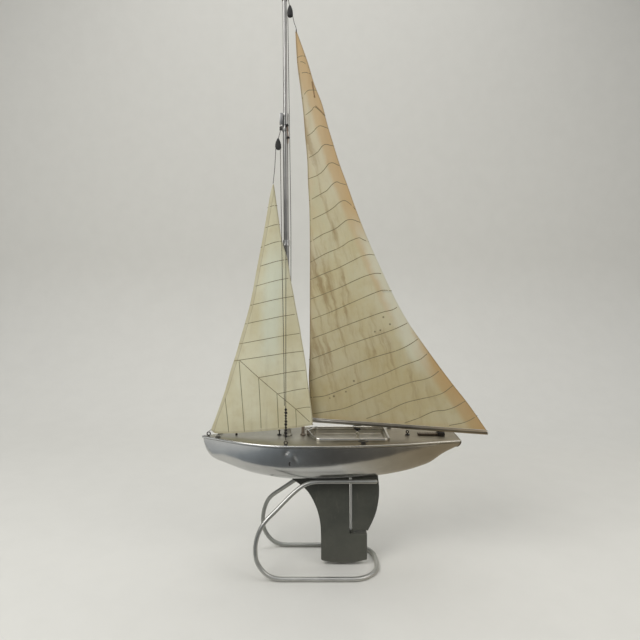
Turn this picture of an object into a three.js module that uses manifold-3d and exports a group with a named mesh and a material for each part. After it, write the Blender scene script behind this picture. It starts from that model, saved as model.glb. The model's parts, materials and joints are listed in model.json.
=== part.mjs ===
// Free-sailing model yacht on a bent-rod display stand.
// Millimetres, +Z up, bow towards -X, starboard towards +Y. The origin is on the surface the
// stand rests on, under the middle of the bounding box.
import * as THREE from 'three';
import * as BufferGeometryUtils from 'three/addons/utils/BufferGeometryUtils.js';
import Module from 'manifold-3d';

const wasm = await Module();
wasm.setup();

// ---------------------------------------------------------------- driving dimensions
const SHIFT_X = -40.83;            // yacht station 0 to the middle of the bounding box
const GAP = 0.3;                  // clearance between touching pieces

const SHEER_Z = 243.2;            // top edge of the hull shell
const HULL_WALL = 1.6;            // pressed sheet thickness
const RIM_OVERHANG = 1.2;         // rolled deck rim stands out past the shell
const DECK_Z = 249.0;             // deck along the centreline
const DECK_EDGE_Z = 246.6;        // deck beside the rolled rim
const BREADTH = [[-229.5, 0.8], [-222, 4.8], [-214, 9], [-199, 16.8], [-173, 31.5], [-145, 45.5], [-115, 56.8], [-88, 63], [-62, 66],
  [-30, 67], [0, 67.2], [36, 66.5], [82, 63], [127, 58], [147, 55], [180, 49], [208, 43], [240, 36.5], [266, 32]];
const KEEL_LINE = [[-226.5, 240], [-225.2, 234], [-223.2, 227], [-219.7, 219.5], [-212, 209.3], [-200.8, 202.4], [-186, 197.2], [-139, 181.8],
  [-100, 174.2], [-57, 169.3], [0, 167.8], [50, 169.2], [110, 174.5], [162, 183.2], [200, 194.5], [221, 204], [245, 218], [258, 226], [266, 231.5]];
const HULL_STATIONS = [-226.3, -225, -222.5, -218, -212, -204, -192, -178, -160, -138, -112, -84, -54, -22, 10, 42, 74, 106, 136, 164, 190, 214, 234, 250, 264];
const TRANSOM_RAKE = 0.45;        // forward lean of the transom per mm of depth

const WELL = { fore: -11, aft: 129.5, half: 41, apex: -24, corner: 11 };  // coaming centreline in plan
const COAMING = { base: 249.3, height: 5.4, width: 4.2, rise: 6 };
const WELL_FLOOR_Z = 241.0;

const STAND = { rod: 4.0, axisZ: 3.88, halfWidth: 62, foreX: -66, aftX: 59, aftReach: 109, topY: 28, topZ: 168.9, topFore: -15, topAft: 105 };

const KEEL_THICK = 16, RUDDER_THICK = 9;
const STOCK = { x: 60, r: 1.75, bottom: 51, top: 237 };
const RUDDER_PIVOT_X = 60;

const MAST = { footX: -63, rake: 6 / 853, lowerR: 5, upperR: 3.9, base: 249, top: 861 };
const SHROUD_Z = 622, SHROUD_EAR_Y = 9.5;
const CHAINPLATE = { x: -62.5, y: 60, z: 252 };

const PIVOT = new THREE.Vector3(-33, 0, 279);       // gooseneck
const BOOM_END = new THREE.Vector3(310, -47, 267);
const BOOM_R = 4.0, BOOM_BORE = 3.2;

const SAIL_T = 1.0;
const MAIN_LUFF = [[-12.4, 283.4], [-16.5, 319.4], [-21.0, 356.2], [-20.0, 414.5], [-19.8, 511.6], [-19.8, 628.1], [-20.8, 690.3], [-23.3, 737.0], [-24.9, 783.7], [-29.0, 830.5], [-32.7, 877.4], [-38.2, 924.4], [-44.4, 971.5], [-48.2, 1034.1]];
const MAIN_LEECH = [[308.3, 272.6], [305.8, 282.7], [276.0, 318.8], [247.3, 355.3], [220.1, 392.1], [194.0, 429.3], [168.8, 466.7], [147.6, 504.4], [129.3, 542.4], [112.3, 580.6], [95.5, 618.9], [79.7, 657.4], [65.3, 696.0], [51.9, 734.8], [37.8, 773.8], [25.7, 812.8], [14.1, 851.9], [3.9, 891.1], [-11.1, 930.6], [-22.7, 970.2], [-36.4, 1009.9], [-45.0, 1033.9]];
const JIB_LUFF = [[-212.1, 258.6], [-205.1, 281.9], [-193.4, 313.0], [-182.5, 344.2], [-173.6, 375.3], [-163.5, 406.5], [-154.7, 437.6], [-145.6, 468.7], [-137.0, 499.9], [-130.6, 531.0], [-124.9, 562.1], [-118.9, 593.3], [-112.9, 624.4], [-107.4, 655.5], [-102.0, 686.7], [-96.7, 717.8], [-91.9, 736.3]];
const JIB_LEECH = [[-14.1, 274.2], [-14.5, 291.2], [-17.9, 317.6], [-21.4, 344.0], [-24.4, 366.8], [-27.1, 389.6], [-30.8, 412.4], [-34.9, 435.2], [-38.4, 458.1], [-43.0, 481.1], [-47.5, 504.1], [-51.6, 527.2], [-56.3, 550.3], [-59.8, 573.4], [-64.1, 596.6], [-69.6, 612.2], [-75.5, 635.5], [-79.5, 666.7], [-82.9, 690.1], [-89.7, 736.2]];
const JIB_FOOT = [[-212.1, 258.6], [-202.6, 252.4], [-121.4, 258.8], [-61.8, 266.4], [-45.8, 268.2], [-14.1, 274.2]];

const MAIN_BLOCK = [-58.4, 0, 1072.5], JIB_BLOCK = [-81.3, 0, 814.2];

// ---------------------------------------------------------------- finishes
const finish = (color, roughness, metalness) => () => new THREE.MeshStandardMaterial({ color, roughness, metalness });
const polished = finish(0xc9cbca, 0.22, 1.0);
const satin = finish(0xb9bab8, 0.38, 1.0);
const painted = finish(0x50524b, 0.6, 0.0);
const cloth = finish(0xbeb798, 0.85, 0.0);
const dark = finish(0x1d1b1a, 0.5, 0.2);
const cord = finish(0x4a4640, 0.8, 0.0);
const bronze = finish(0x5a4838, 0.5, 0.8);
const steel = finish(0x8d8f90, 0.4, 1.0);

const group = new THREE.Group();
group.position.x = SHIFT_X;
const mast = new THREE.Group();
mast.position.set(MAST.footX, 0, MAST.base);
mast.rotation.y = -Math.atan(MAST.rake);
group.add(mast);

function add(name, geometry, material, parent = group) {
  const mesh = new THREE.Mesh(geometry, material());
  mesh.name = name;
  parent.add(mesh);
  return mesh;
}

// ---------------------------------------------------------------- small tools
const lerpTable = (table, x) => {
  if (x <= table[0][0]) return table[0][1];
  for (let i = 1; i < table.length; i++) {
    if (x <= table[i][0]) {
      const [x0, y0] = table[i - 1], [x1, y1] = table[i];
      const m = (k) => {                                    // finite-difference tangent
        const a = table[Math.max(0, k - 1)], b = table[Math.min(table.length - 1, k + 1)];
        return (b[1] - a[1]) / (b[0] - a[0]);
      };
      const h = x1 - x0, t = (x - x0) / h, t2 = t * t, t3 = t2 * t;
      return (2 * t3 - 3 * t2 + 1) * y0 + (t3 - 2 * t2 + t) * h * m(i - 1) + (-2 * t3 + 3 * t2) * y1 + (t3 - t2) * h * m(i);
    }
  }
  return table[table.length - 1][1];
};
const halfBreadth = (x) => Math.max(0.6, lerpTable(BREADTH, x));
const keelLine = (x) => lerpTable(KEEL_LINE, x);
const deckTop = (x, y) => DECK_EDGE_Z + (DECK_Z - DECK_EDGE_Z) * Math.min(1, halfBreadth(x) / 45) * (1 - Math.pow(Math.min(1, Math.abs(y) / halfBreadth(x)), 6));

function meshFrom(points, faces) {                          // indexed closed mesh, faces turned outwards
  let volume = 0;
  for (const [a, b, c] of faces) {
    const [ax, ay, az] = points[a], [bx, by, bz] = points[b], [cx, cy, cz] = points[c];
    volume += ax * (by * cz - bz * cy) + ay * (bz * cx - bx * cz) + az * (bx * cy - by * cx);
  }
  const order = volume < 0 ? faces.map(([a, b, c]) => [a, c, b]) : faces;
  const geometry = new THREE.BufferGeometry();
  geometry.setAttribute('position', new THREE.Float32BufferAttribute(points.flat(), 3));
  geometry.setIndex(order.flat());
  geometry.computeVertexNormals();
  return geometry;
}
function loft(rings, { closed = false } = {}) {             // rings of equal length, fan caps about the ring's centre
  const n = rings[0].length, points = rings.flat(), faces = [];
  const count = closed ? rings.length : rings.length - 1;
  for (let i = 0; i < count; i++) {
    const j = (i + 1) % rings.length;
    for (let k = 0; k < n; k++) {
      const l = (k + 1) % n;
      faces.push([i * n + k, j * n + k, j * n + l], [i * n + k, j * n + l, i * n + l]);
    }
  }
  if (!closed) {
    for (const [i, flip] of [[0, false], [rings.length - 1, true]]) {
      const c = [0, 1, 2].map((d) => rings[i].reduce((s, p) => s + p[d], 0) / n);
      points.push(c);
      for (let k = 0; k < n; k++) {
        const l = (k + 1) % n, f = [points.length - 1, i * n + k, i * n + l];
        faces.push(flip ? [f[0], f[2], f[1]] : f);
      }
    }
  }
  return meshFrom(points, faces);
}
function sweep(path, radius, sides, { ends = 'flat', up = new THREE.Vector3(0, 0, 1) } = {}) {   // round rod along a path
  const P = path.map((p) => (p.isVector3 ? p.clone() : new THREE.Vector3(...p)));
  const T = P.map((p, i) => P[Math.min(P.length - 1, i + 1)].clone().sub(P[Math.max(0, i - 1)]).normalize());
  let N = up.clone().sub(T[0].clone().multiplyScalar(up.dot(T[0])));
  if (N.length() < 1e-3) N = new THREE.Vector3(1, 0, 0).sub(T[0].clone().multiplyScalar(T[0].x));
  N.normalize();
  const rings = [];
  const ring = (c, n, b, r) => Array.from({ length: sides }, (_, k) => {
    const a = ((k + 0.5) / sides) * Math.PI * 2;
    return c.clone().addScaledVector(n, Math.cos(a) * r).addScaledVector(b, Math.sin(a) * r).toArray();
  });
  P.forEach((p, i) => {
    if (i) {
      N = N.clone().sub(T[i].clone().multiplyScalar(N.dot(T[i]))).normalize();
    }
    const B = T[i].clone().cross(N);
    if (i === 0 && ends === 'round') {
      rings.push(ring(p.clone().addScaledVector(T[0], -radius * 0.9), N, B, radius * 0.4));
      rings.push(ring(p.clone().addScaledVector(T[0], -radius * 0.5), N, B, radius * 0.85));
    }
    rings.push(ring(p, N, B, radius));
    if (i === P.length - 1 && ends === 'round') {
      rings.push(ring(p.clone().addScaledVector(T[i], radius * 0.5), N, B, radius * 0.85));
      rings.push(ring(p.clone().addScaledVector(T[i], radius * 0.9), N, B, radius * 0.4));
    }
  });
  return loft(rings);
}
function toSolid(geometry) {
  const g = geometry.index ? geometry.clone() : geometry.clone();
  g.deleteAttribute('normal'); g.deleteAttribute('uv');
  const merged = BufferGeometryUtils.mergeVertices(g, 1e-4);
  return new wasm.Manifold(new wasm.Mesh({
    numProp: 3,
    vertProperties: new Float32Array(merged.attributes.position.array),
    triVerts: new Uint32Array(merged.index.array),
  }));
}
function toGeometry(solid) {
  const m = solid.getMesh(), g = new THREE.BufferGeometry(), pos = [];
  for (let i = 0; i < m.numVert; i++) pos.push(m.vertProperties[i * m.numProp], m.vertProperties[i * m.numProp + 1], m.vertProperties[i * m.numProp + 2]);
  g.setAttribute('position', new THREE.Float32BufferAttribute(pos, 3));
  g.setIndex(Array.from(m.triVerts));
  g.computeVertexNormals();
  return g;
}
const cut = (base, ...tools) => toGeometry(tools.reduce((s, t) => s.subtract(toSolid(t)), toSolid(base)));
const join = (base, ...tools) => toGeometry(tools.reduce((s, t) => s.add(toSolid(t)), toSolid(base)));
const box = (x0, x1, y0, y1, z0, z1) => new THREE.BoxGeometry(x1 - x0, y1 - y0, z1 - z0).translate((x0 + x1) / 2, (y0 + y1) / 2, (z0 + z1) / 2);
const post = (r, z0, z1, x = 0, y = 0, sides = 16) => new THREE.CylinderGeometry(r, r, z1 - z0, sides).rotateX(Math.PI / 2).translate(x, y, (z0 + z1) / 2);
const crossPin = (r, length, x, z, sides = 12) => new THREE.CylinderGeometry(r, r, length, sides).translate(x, 0, z);
function turned(profile, sides = 16) {                      // profile [r, z] starts and ends on the axis, or closes on itself
  const g = new THREE.LatheGeometry(profile.map(([r, z]) => new THREE.Vector2(r, z)), sides).rotateX(Math.PI / 2);
  return weld(g);
}
const tube = (rOut, rIn, z0, z1, sides = 16) => turned([[rIn, z0], [rOut, z0], [rOut, z1], [rIn, z1], [rIn, z0]], sides);
function weld(geometry) {
  const g = geometry.clone();
  g.deleteAttribute('normal'); g.deleteAttribute('uv');
  const merged = BufferGeometryUtils.mergeVertices(g, 1e-4), p = merged.attributes.position, idx = merged.index.array, pts = [], faces = [];
  for (let i = 0; i < p.count; i++) pts.push([p.getX(i), p.getY(i), p.getZ(i)]);
  for (let i = 0; i < idx.length; i += 3) {
    const f = [idx[i], idx[i + 1], idx[i + 2]];
    if (f[0] !== f[1] && f[1] !== f[2] && f[0] !== f[2]) faces.push(f);
  }
  return meshFrom(pts, faces);
}
function plate(outline, y0, y1, bevel = 0) {                // outline in X-Z, thickness along Y
  const shape = new THREE.Shape(outline.map(([x, z]) => new THREE.Vector2(x, z)));
  const g = new THREE.ExtrudeGeometry(shape, {
    depth: y1 - y0 - 2 * bevel, steps: 1, bevelEnabled: bevel > 0, bevelThickness: bevel, bevelSize: bevel, bevelOffset: -bevel, bevelSegments: 2, curveSegments: 8,
  });
  g.translate(0, 0, y0 + bevel);
  g.rotateX(Math.PI / 2).scale(1, -1, 1);                   // X-Z outline, thickness upwards in Y
  return weld(g);
}
const ringAt = (x, y, z, R, r, turn = 0, sides = 6, seg = 12) => new THREE.TorusGeometry(R, r, sides, seg).rotateX(Math.PI / 2).rotateZ(turn).translate(x, y, z);
const arc = (cx, cz, r, a0, a1, n) => Array.from({ length: n + 1 }, (_, i) => {
  const a = THREE.MathUtils.degToRad(a0 + ((a1 - a0) * i) / n);
  return [cx + r * Math.cos(a), cz + r * Math.sin(a)];
});

// ---------------------------------------------------------------- stand: one rod, bent both sides and round the stern
{
  const s = STAND;
  const bends = new THREE.CatmullRomCurve3([[10, s.topZ], [-3, s.topZ - 0.2], [-14, s.topZ - 1.3], [-24.5, s.topZ - 4.2], [-35.5, s.topZ - 9.6], [-48, 150.6], [-60.5, 140.6],
    [-80.2, 124.0], [-98.5, 108.4], [-107, 97.8], [-113.2, 84.5], [-116.9, 70], [-118, 56], [-115.8, 38.5], [-108.5, 24.2], [-97, 12.2], [-82, 5.6], [-66, s.axisZ]]
    .map(([x, z]) => new THREE.Vector3(x, 0, z)), false, 'centripetal').getSpacedPoints(28);
  const side = [[s.topAft, s.topZ], [60, s.topZ], ...bends.map((p) => [p.x, Math.max(s.axisZ, p.z)]), [-5, s.axisZ], [s.aftX - 4, s.axisZ]];
  const yOf = (z) => {                                      // the sides lean in towards the hull above the bend
    const t = THREE.MathUtils.clamp((z - 88) / (s.topZ - 88), 0, 1);
    return THREE.MathUtils.lerp(s.halfWidth, s.topY, t * t * (3 - 2 * t));
  };
  const port = side.map(([x, z]) => new THREE.Vector3(x, -yOf(z), z));
  const bend = [];
  const r = s.aftReach - s.aftX;                            // corner radius of the stern bend
  for (const a of [-90, -78, -66, -54, -42, -30, -18, -6]) bend.push([s.aftX + r * Math.cos(a * Math.PI / 180), -(s.halfWidth - r) + r * Math.sin(a * Math.PI / 180)]);
  const stern = bend.map(([x, y]) => new THREE.Vector3(x, y, s.axisZ));
  const half = [...port, ...stern];
  const mirror = half.slice().reverse().map((p) => new THREE.Vector3(p.x, -p.y, p.z));
  const rod = sweep([...half, ...mirror], s.rod, 10, { ends: 'round' });
  add('stand_frame', cut(rod, box(-200, 200, -100, 100, -5, 0)), satin);
}

// ---------------------------------------------------------------- hull
const rakeOf = (x) => TRANSOM_RAKE * THREE.MathUtils.smoothstep(x, 205, 264);
function hullRing(x, offset, topZ, zTopOffset = 0) {        // half-round section, port sheer to starboard sheer
  const b = Math.max(0.35, halfBreadth(x) - RIM_OVERHANG - offset), zb = keelLine(x) + offset, d = SHEER_Z - zb, n = 14, ring = [];
  for (let i = 0; i <= n; i++) {
    const a = Math.PI * (i / n), c = Math.cos(a), s = Math.sin(a);
    const y = -b * Math.sign(c) * Math.pow(Math.abs(c), 0.94), z = SHEER_Z - d * Math.pow(s, 0.94);
    ring.push([x + rakeOf(x) * (z - SHEER_Z), y, z]);
  }
  if (topZ > SHEER_Z) { ring.push([x, b, topZ], [x, -b, topZ]); }
  return ring;
}
const outer = loft(HULL_STATIONS.map((x) => hullRing(x, 0, SHEER_Z)));
const innerStations = [-219, ...HULL_STATIONS.filter((x) => x > -218 && x < 262), 264, 272];
const inner = loft(innerStations.map((x) => hullRing(Math.min(x, 264), HULL_WALL, SHEER_Z + 10).map(([px, y, z]) => [px + Math.max(0, x - 264), y, z])));
const BOLT_X = [-10, 38];
add('hull_shell', cut(outer, inner, post(2.4, 150, 190, BOLT_X[0]), post(2.4, 150, 190, BOLT_X[1]), post(3.9, 150, 190, STOCK.x)), polished);

// deck plate with its rolled rim, opened for the well
const insetPlan = (inset) => {                              // plan outline of the well, inset from the coaming centreline
  const w = WELL, h = w.half - inset, f = w.fore + inset * 0.3, a = w.aft - inset, p = w.apex + inset * 1.15, c = Math.max(2, w.corner - inset);
  const pts = [];
  const corner = (x, y, a0, a1) => { for (let i = 0; i <= 5; i++) { const t = THREE.MathUtils.degToRad(a0 + ((a1 - a0) * i) / 5); pts.push([x + c * Math.cos(t), y + c * Math.sin(t)]); } };
  corner(a - c, -h + c, -90, 0); corner(a - c, h - c, 0, 90);
  corner(f + c, h - c, 90, 162);
  pts.push([p + 2.2, 6], [p, 0], [p + 2.2, -6]);
  corner(f + c, -h + c, 198, 270);
  return pts;
};
const prism = (outline, z0, z1) => weld(new THREE.ExtrudeGeometry(new THREE.Shape(outline.map(([x, y]) => new THREE.Vector2(x, y))), { depth: z1 - z0, steps: 1, bevelEnabled: false }).translate(0, 0, z0));
{
  const rings = [-229.5, ...HULL_STATIONS.filter((x) => x > -224 && x < 264), 264.3].map((x) => {
    const b = halfBreadth(x), k = Math.min(1, b / 6), e = (d) => b - d * k, top = [], bottom = [];
    top.push([e(0), 246.4], [e(0.6), 247.5], [e(1.7), 247.9], [e(2.9), 247.2], [e(3.3), deckTop(x, e(3.3)) + 0.05]);
    for (const f of [0.75, 0.38]) top.push([e(3.3) * f, deckTop(x, e(3.3) * f)]);
    bottom.push([e(0), 244.8], [e(0.6), 243.8], [e(1.7), SHEER_Z + GAP], [e(2.9), 243.9], [e(3.3), deckTop(x, e(3.3)) - 1.25]);
    for (const f of [0.75, 0.38]) bottom.push([e(3.3) * f, deckTop(x, e(3.3) * f) - 1.3]);
    const loop = [...top, [0, deckTop(x, 0)], ...top.slice().reverse().map(([y, z]) => [-y, z]), ...bottom.map(([y, z]) => [-y, z]), [0, deckTop(x, 0) - 1.3], ...bottom.slice().reverse()];
    return loop.map(([y, z]) => [x, y, z]);
  });
  add('deck_plate', cut(loft(rings), prism(insetPlan(2.2), 230, 260)), polished);
}
{
  const profile = [[-2.1, 0], [2.1, 0], [2.1, 3.0], [1.3, 4.7], [0, 5.4], [-1.3, 4.7], [-2.1, 3.0]];
  const lift = (x, z) => (z > 0 ? z + COAMING.rise * THREE.MathUtils.clamp((WELL.fore + 6 - x) / (WELL.fore + 6 - WELL.apex), 0, 1) ** 1.3 : 0);
  const rings = profile.map(([u, z]) => insetPlan(-u).map(([x, y]) => [x, y, COAMING.base + lift(x, z)]));
  const cols = rings[0].map((_, i) => rings.map((r) => r[i]));
  add('coaming', loft(cols, { closed: true }), polished);
  add('cockpit_tray', cut(prism(insetPlan(2.5), WELL_FLOOR_Z - 1.2, 248.4), prism(insetPlan(3.7), WELL_FLOOR_Z, 260)), polished);
}
{
  const ring = (dx) => { const r = hullRing(264, -0.6, SHEER_Z).map(([x, y, z]) => [x + dx, y, z]); return [...r, [264 + dx, 32.2, 247.6], [264 + dx, 16, 248.4], [264 + dx, -16, 248.4], [264 + dx, -32.2, 247.6]]; };
  add('transom_plate', loft([ring(0.9), ring(2.4)]), polished);
}

// ---------------------------------------------------------------- ballast keel and its bolts
{
  const top = [];
  for (const x of [57.4, 40, 20, 0, -20, -40, -56]) top.push([x, keelLine(x) - 0.4]);
  const outline = [[2, 9.6], [12, 7.0], [28, 4.8], [46, 4.0], [68, 5.6], [91, 10.4], [91, 58], [57.4, 58], ...top,
    [-50, 163.4], [-38, 154.8], [-26.5, 145], [-18.5, 134], [-12.6, 123], [-5.8, 107], [-1.7, 92], [0.6, 79], [1.5, 66], [1.9, 38]];
  const holes = [post(2.3, 140, 175, BOLT_X[0]), post(2.3, 140, 175, BOLT_X[1]), post(2.15, 50, 70, STOCK.x), post(3.8, 57.9, 66, STOCK.x)];
  add('keel_fin', cut(plate(outline, -KEEL_THICK / 2, KEEL_THICK / 2, 2.2), ...holes), painted);
  BOLT_X.forEach((x, i) => {
    const where = ['fore', 'aft'][i], floor = keelLine(x) + HULL_WALL;
    add(`keel_bolt_${where}`, post(1.95, 141, floor + 8, x, 0, 12), steel);
    const nut = tube(4.1, 2.75, floor + 0.8, floor + 4.4, 6).translate(x, 0, 0);
    add(`keel_nut_${where}`, nut, steel);
  });
}

// ---------------------------------------------------------------- rudder: trunk, stock, blade, collar
add('rudder_trunk', tube(3.5, 2.15, 170.4, 231).translate(STOCK.x, 0, 0), steel);
add('rudder_stock', post(STOCK.r, STOCK.bottom, STOCK.top, STOCK.x, 0, 12), satin);
add('rudder_blade', plate([[62.2, 65.6], [93.6, 65.6], [98.8, 75], [105.2, 89], [110.4, 105], [113.5, 121], [115, 136], [114.8, 150.6], [112.4, 170.6], [90, 168.8], [62.2, 166.6]],
  -RUDDER_THICK / 2, RUDDER_THICK / 2, 1.6), painted);
add('rudder_collar', tube(5, 2.1, 231.4, 236).translate(STOCK.x, 0, 0), bronze);
add('rudder_heel_bush', tube(3.4, 2.1, 58.3, 65.2, 12).translate(STOCK.x, 0, 0), dark);

// ---------------------------------------------------------------- mast (local z from the deck)
add('mast_step', turned([[5.3, 0.4], [9, 0.4], [9, 2.2], [7.2, 3.4], [6.8, 12], [5.3, 12], [5.3, 0.4]]), dark, mast);
add('mast_lower', tube(MAST.lowerR, 4.2, 1.2, 611), satin, mast);
add('mast_upper', tube(MAST.upperR, 3.1, 560, MAST.top - 2, 14), satin, mast);
add('mast_sleeve', tube(6.3, 5.3, 590, 625), satin, mast);
add('masthead_cap', join(turned([[4.2, 845], [5.3, 845], [5.3, MAST.top], [0, MAST.top], [0, MAST.top - 1.7], [4.2, MAST.top - 1.7], [4.2, 845]], 14),
  cut(box(4.8, 9.6, -0.9, 0.9, 852, 859), crossPin(1.1, 6, 7.6, 855.4))), satin, mast);
add('shroud_collar', cut(join(tube(6.6, 5.3, 367, 379), box(-2.2, 2.2, 5.9, 12, 371.6, 374.4), box(-2.2, 2.2, -12, -5.9, 371.6, 374.4)),
  post(0.9, 368, 378, 0, SHROUD_EAR_Y, 8), post(0.9, 368, 378, 0, -SHROUD_EAR_Y, 8)), bronze, mast);
add('hound_bracket', cut(box(-11.5, -6.6, -1, 1, 592.5, 601), crossPin(1.2, 6, -9.3, 595.2)), bronze, mast);

// ---------------------------------------------------------------- halyard blocks
function block(tag, [cx, cy, cz], lean) {
  const holder = new THREE.Group();
  holder.position.set(cx, cy, cz);
  holder.rotation.y = lean;
  group.add(holder);
  const outline = [...arc(0, -4.2, 6, 200, 340, 8), [5.4, 0], [3.2, 6.5], [1.9, 10.4], [0, 11.4], [-1.9, 10.4], [-3.2, 6.5], [-5.4, 0]];
  const shell = cut(plate(outline, -4.2, 4.2, 0.8), box(-9, 9, -1.8, 1.8, -14, 2.6), crossPin(0.9, 12, 0, 8.6, 8));
  add(`${tag}_block_shell`, join(shell, crossPin(0.9, 6, 0, -4.2, 10)), dark, holder);
  add(`${tag}_block_sheave`, turned([[1.25, -1.4], [3.9, -1.4], [3.3, 0], [3.9, 1.4], [1.25, 1.4], [1.25, -1.4]], 16).rotateX(Math.PI / 2).translate(0, 0, -4.2), bronze, holder);
}
block('main', MAIN_BLOCK, 0);
block('jib', JIB_BLOCK, 0);
const CORD = 0.55;
add('main_block_strop', sweep([[-61.5, 0, 1100.4], [-61.3, 0, 1095], [-60.2, 0, 1089], [-58.7, 0, 1084.6]], CORD, 8), cord);
add('jib_block_strop', sweep([[-77.0, 0, 840.6], [-78.8, 0, 834], [-80.9, 0, 826.2]], CORD, 8), cord);

// halyards: sail head, over the sheave, down to the shroud lanyards
const over = ([cx, , cz], r, from, to) => arc(cx, cz - 4.2, r, from, to, 8).map(([x, z]) => [x, 0, z]);
add('main_halyard', sweep([[-46.2, 0.9, 1040], [-50.5, 0.5, 1052], ...over(MAIN_BLOCK, 4.65, 0, 180), [-62.4, 0.6, 1048], [-57.5, 6.6, 700], [-57, 8, 640], [-58.5, 31.0, 470], [-60.4, 52.2, 318]], CORD, 8), cord);
add('jib_halyard', sweep([[-91.2, 0, 738.6], [-88, 0, 768], ...over(JIB_BLOCK, 4.65, 180, 0), [-77.2, -0.6, 800], [-72.4, -22, 600], [-67.8, -40.5, 430], [-65.6, -52.4, 318]], CORD, 8), cord);

// ---------------------------------------------------------------- standing rigging
for (const [name, s] of [['port', -1], ['starboard', 1]]) {
  const top = new THREE.Vector3(-65.7, s * (SHROUD_EAR_Y + 0.4), SHROUD_Z - 2.2), low = new THREE.Vector3(CHAINPLATE.x, s * CHAINPLATE.y, CHAINPLATE.z);
  const at = (z) => top.clone().lerp(low, (top.z - z) / (top.z - low.z));
  add(`shroud_${name}`, sweep([at(top.z), at(470), at(313.5)], 0.6, 8), cord);
  add(`lanyard_${name}`, sweep([at(312.9), at(285), at(257.2)], 1.9, 8), dark);
  add(`chainplate_eye_${name}`, ringAt(CHAINPLATE.x, s * CHAINPLATE.y, CHAINPLATE.z, 3, 0.9, 0), dark);
}

// ---------------------------------------------------------------- boom and gooseneck
{
  add('gooseneck_post', turned([[0, 249.4], [5.4, 249.4], [5.4, 250.8], [3.4, 252.2], [3.0, 266], [2.2, 267], [2.2, 273.6], [0, 273.6]], 14).translate(PIVOT.x, 0, 0), dark);
  const along = BOOM_END.clone().sub(PIVOT), length = along.length(), dir = along.clone().normalize();
  const turn = new THREE.Quaternion().setFromUnitVectors(new THREE.Vector3(0, 0, 1), dir);
  const place = (g) => g.applyQuaternion(turn).translate(PIVOT.x, PIVOT.y, PIVOT.z);
  add('gooseneck_swivel', join(post(4.5, 274, 284, PIVOT.x, 0, 14), place(post(2.8, 1, 22, 0, 0, 12))), dark);
  add('boom_tube', place(tube(BOOM_R, BOOM_BORE, 7.5, length - 1.8)), satin);
  add('boom_end_plug', place(turned([[0, length - 12], [2.9, length - 12], [2.9, length - 1.5], [4.2, length - 1.5], [4.2, length], [3.4, length + 0.7], [0, length + 0.7]])), satin);
  const at = (s) => PIVOT.clone().addScaledVector(dir, s);
  const e = at(99.3);
  add('boom_sheet_eye', ringAt(e.x, e.y, e.z - BOOM_R - 2.9, 2, 0.6, Math.atan2(dir.y, dir.x)), dark);
  add('mainsheet', sweep([[e.x + 0.1, e.y + 0.3, e.z - BOOM_R - 6], [70.2, -6.4, 263.5], [73, 0, 259.2]], 0.8, 8), dark);
}

// ---------------------------------------------------------------- sails: thin curved panels
function along(line, t) {                                   // point at a fraction of a polyline's height
  const z = THREE.MathUtils.lerp(line[0][1], line[line.length - 1][1], t);
  for (let i = 1; i < line.length; i++) if (z <= line[i][1] + 1e-6) {
    const k = (z - line[i - 1][1]) / (line[i][1] - line[i - 1][1]);
    return [THREE.MathUtils.lerp(line[i - 1][0], line[i][0], k), z];
  }
  return line[line.length - 1];
}
function sail(luff, leech, foot, surface, rows, cols) {
  const front = [], back = [];
  for (let r = 0; r <= rows; r++) {
    const v = Math.pow(r / rows, 0.92), a = along(luff, v), b = along(leech, v);
    for (let c = 0; c <= cols; c++) {
      const u = c / cols;
      let x = THREE.MathUtils.lerp(a[0], b[0], u), z = THREE.MathUtils.lerp(a[1], b[1], u);
      if (foot && r === 0) z = foot(x);
      if (foot && r > 0) z += (foot(x) - THREE.MathUtils.lerp(luff[0][1], leech[0][1], u)) * Math.max(0, 1 - v * 4);
      const y = surface(x, z, u, v);
      front.push([x, y - SAIL_T / 2, z]); back.push([x, y + SAIL_T / 2, z]);
    }
  }
  const w = cols + 1, n = front.length, points = [...front, ...back], faces = [];
  for (let r = 0; r < rows; r++) for (let c = 0; c < cols; c++) {
    const i = r * w + c;
    faces.push([i, i + 1, i + w + 1], [i, i + w + 1, i + w], [n + i, n + i + w + 1, n + i + 1], [n + i, n + i + w, n + i + w + 1]);
  }
  const rim = [];
  for (let c = 0; c <= cols; c++) rim.push(c);
  for (let r = 1; r <= rows; r++) rim.push(r * w + cols);
  for (let c = cols - 1; c >= 0; c--) rim.push(rows * w + c);
  for (let r = rows - 1; r >= 1; r--) rim.push(r * w);
  rim.forEach((p, k) => { const q = rim[(k + 1) % rim.length]; faces.push([p, n + q, q], [p, n + p, n + q]); });
  return meshFrom(points, faces);
}
const boomSlope = BOOM_END.y / (BOOM_END.x - PIVOT.x);
const mainY = (x, z, u, v) => boomSlope * (x - PIVOT.x) - 4 * u * (1 - u) * (1.5 + 8 * 4 * v * (1 - v));
const mainFoot = (x) => THREE.MathUtils.lerp(PIVOT.z, BOOM_END.z, (x - PIVOT.x) / (BOOM_END.x - PIVOT.x)) + BOOM_R + 0.7;
add('mainsail', sail(MAIN_LUFF, MAIN_LEECH, mainFoot, mainY, 16, 6), cloth);
const jibLuffX = (z) => { const h = JIB_LUFF.length - 1, t = THREE.MathUtils.clamp((z - JIB_LUFF[0][1]) / (JIB_LUFF[h][1] - JIB_LUFF[0][1]), 0, 1); return along(JIB_LUFF, t)[0]; };
const jibY = (x, z, u, v) => -(0.112 + 0.042 * Math.max(0, (z - 271) / 465)) * Math.max(0, x - jibLuffX(z)) - 4 * u * (1 - u) * (1.5 + 5 * 4 * v * (1 - v));
const jibFoot = (x) => lerpTable(JIB_FOOT, x);
add('jib', sail(JIB_LUFF, JIB_LEECH, jibFoot, jibY, 14, 6), cloth);
add('jib_sheet', sweep([[-15.6, -19.2, 269.2], [-21.4, -12, 264.5], [-28.8, -3.9, 261]], CORD, 8), cord);

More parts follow.
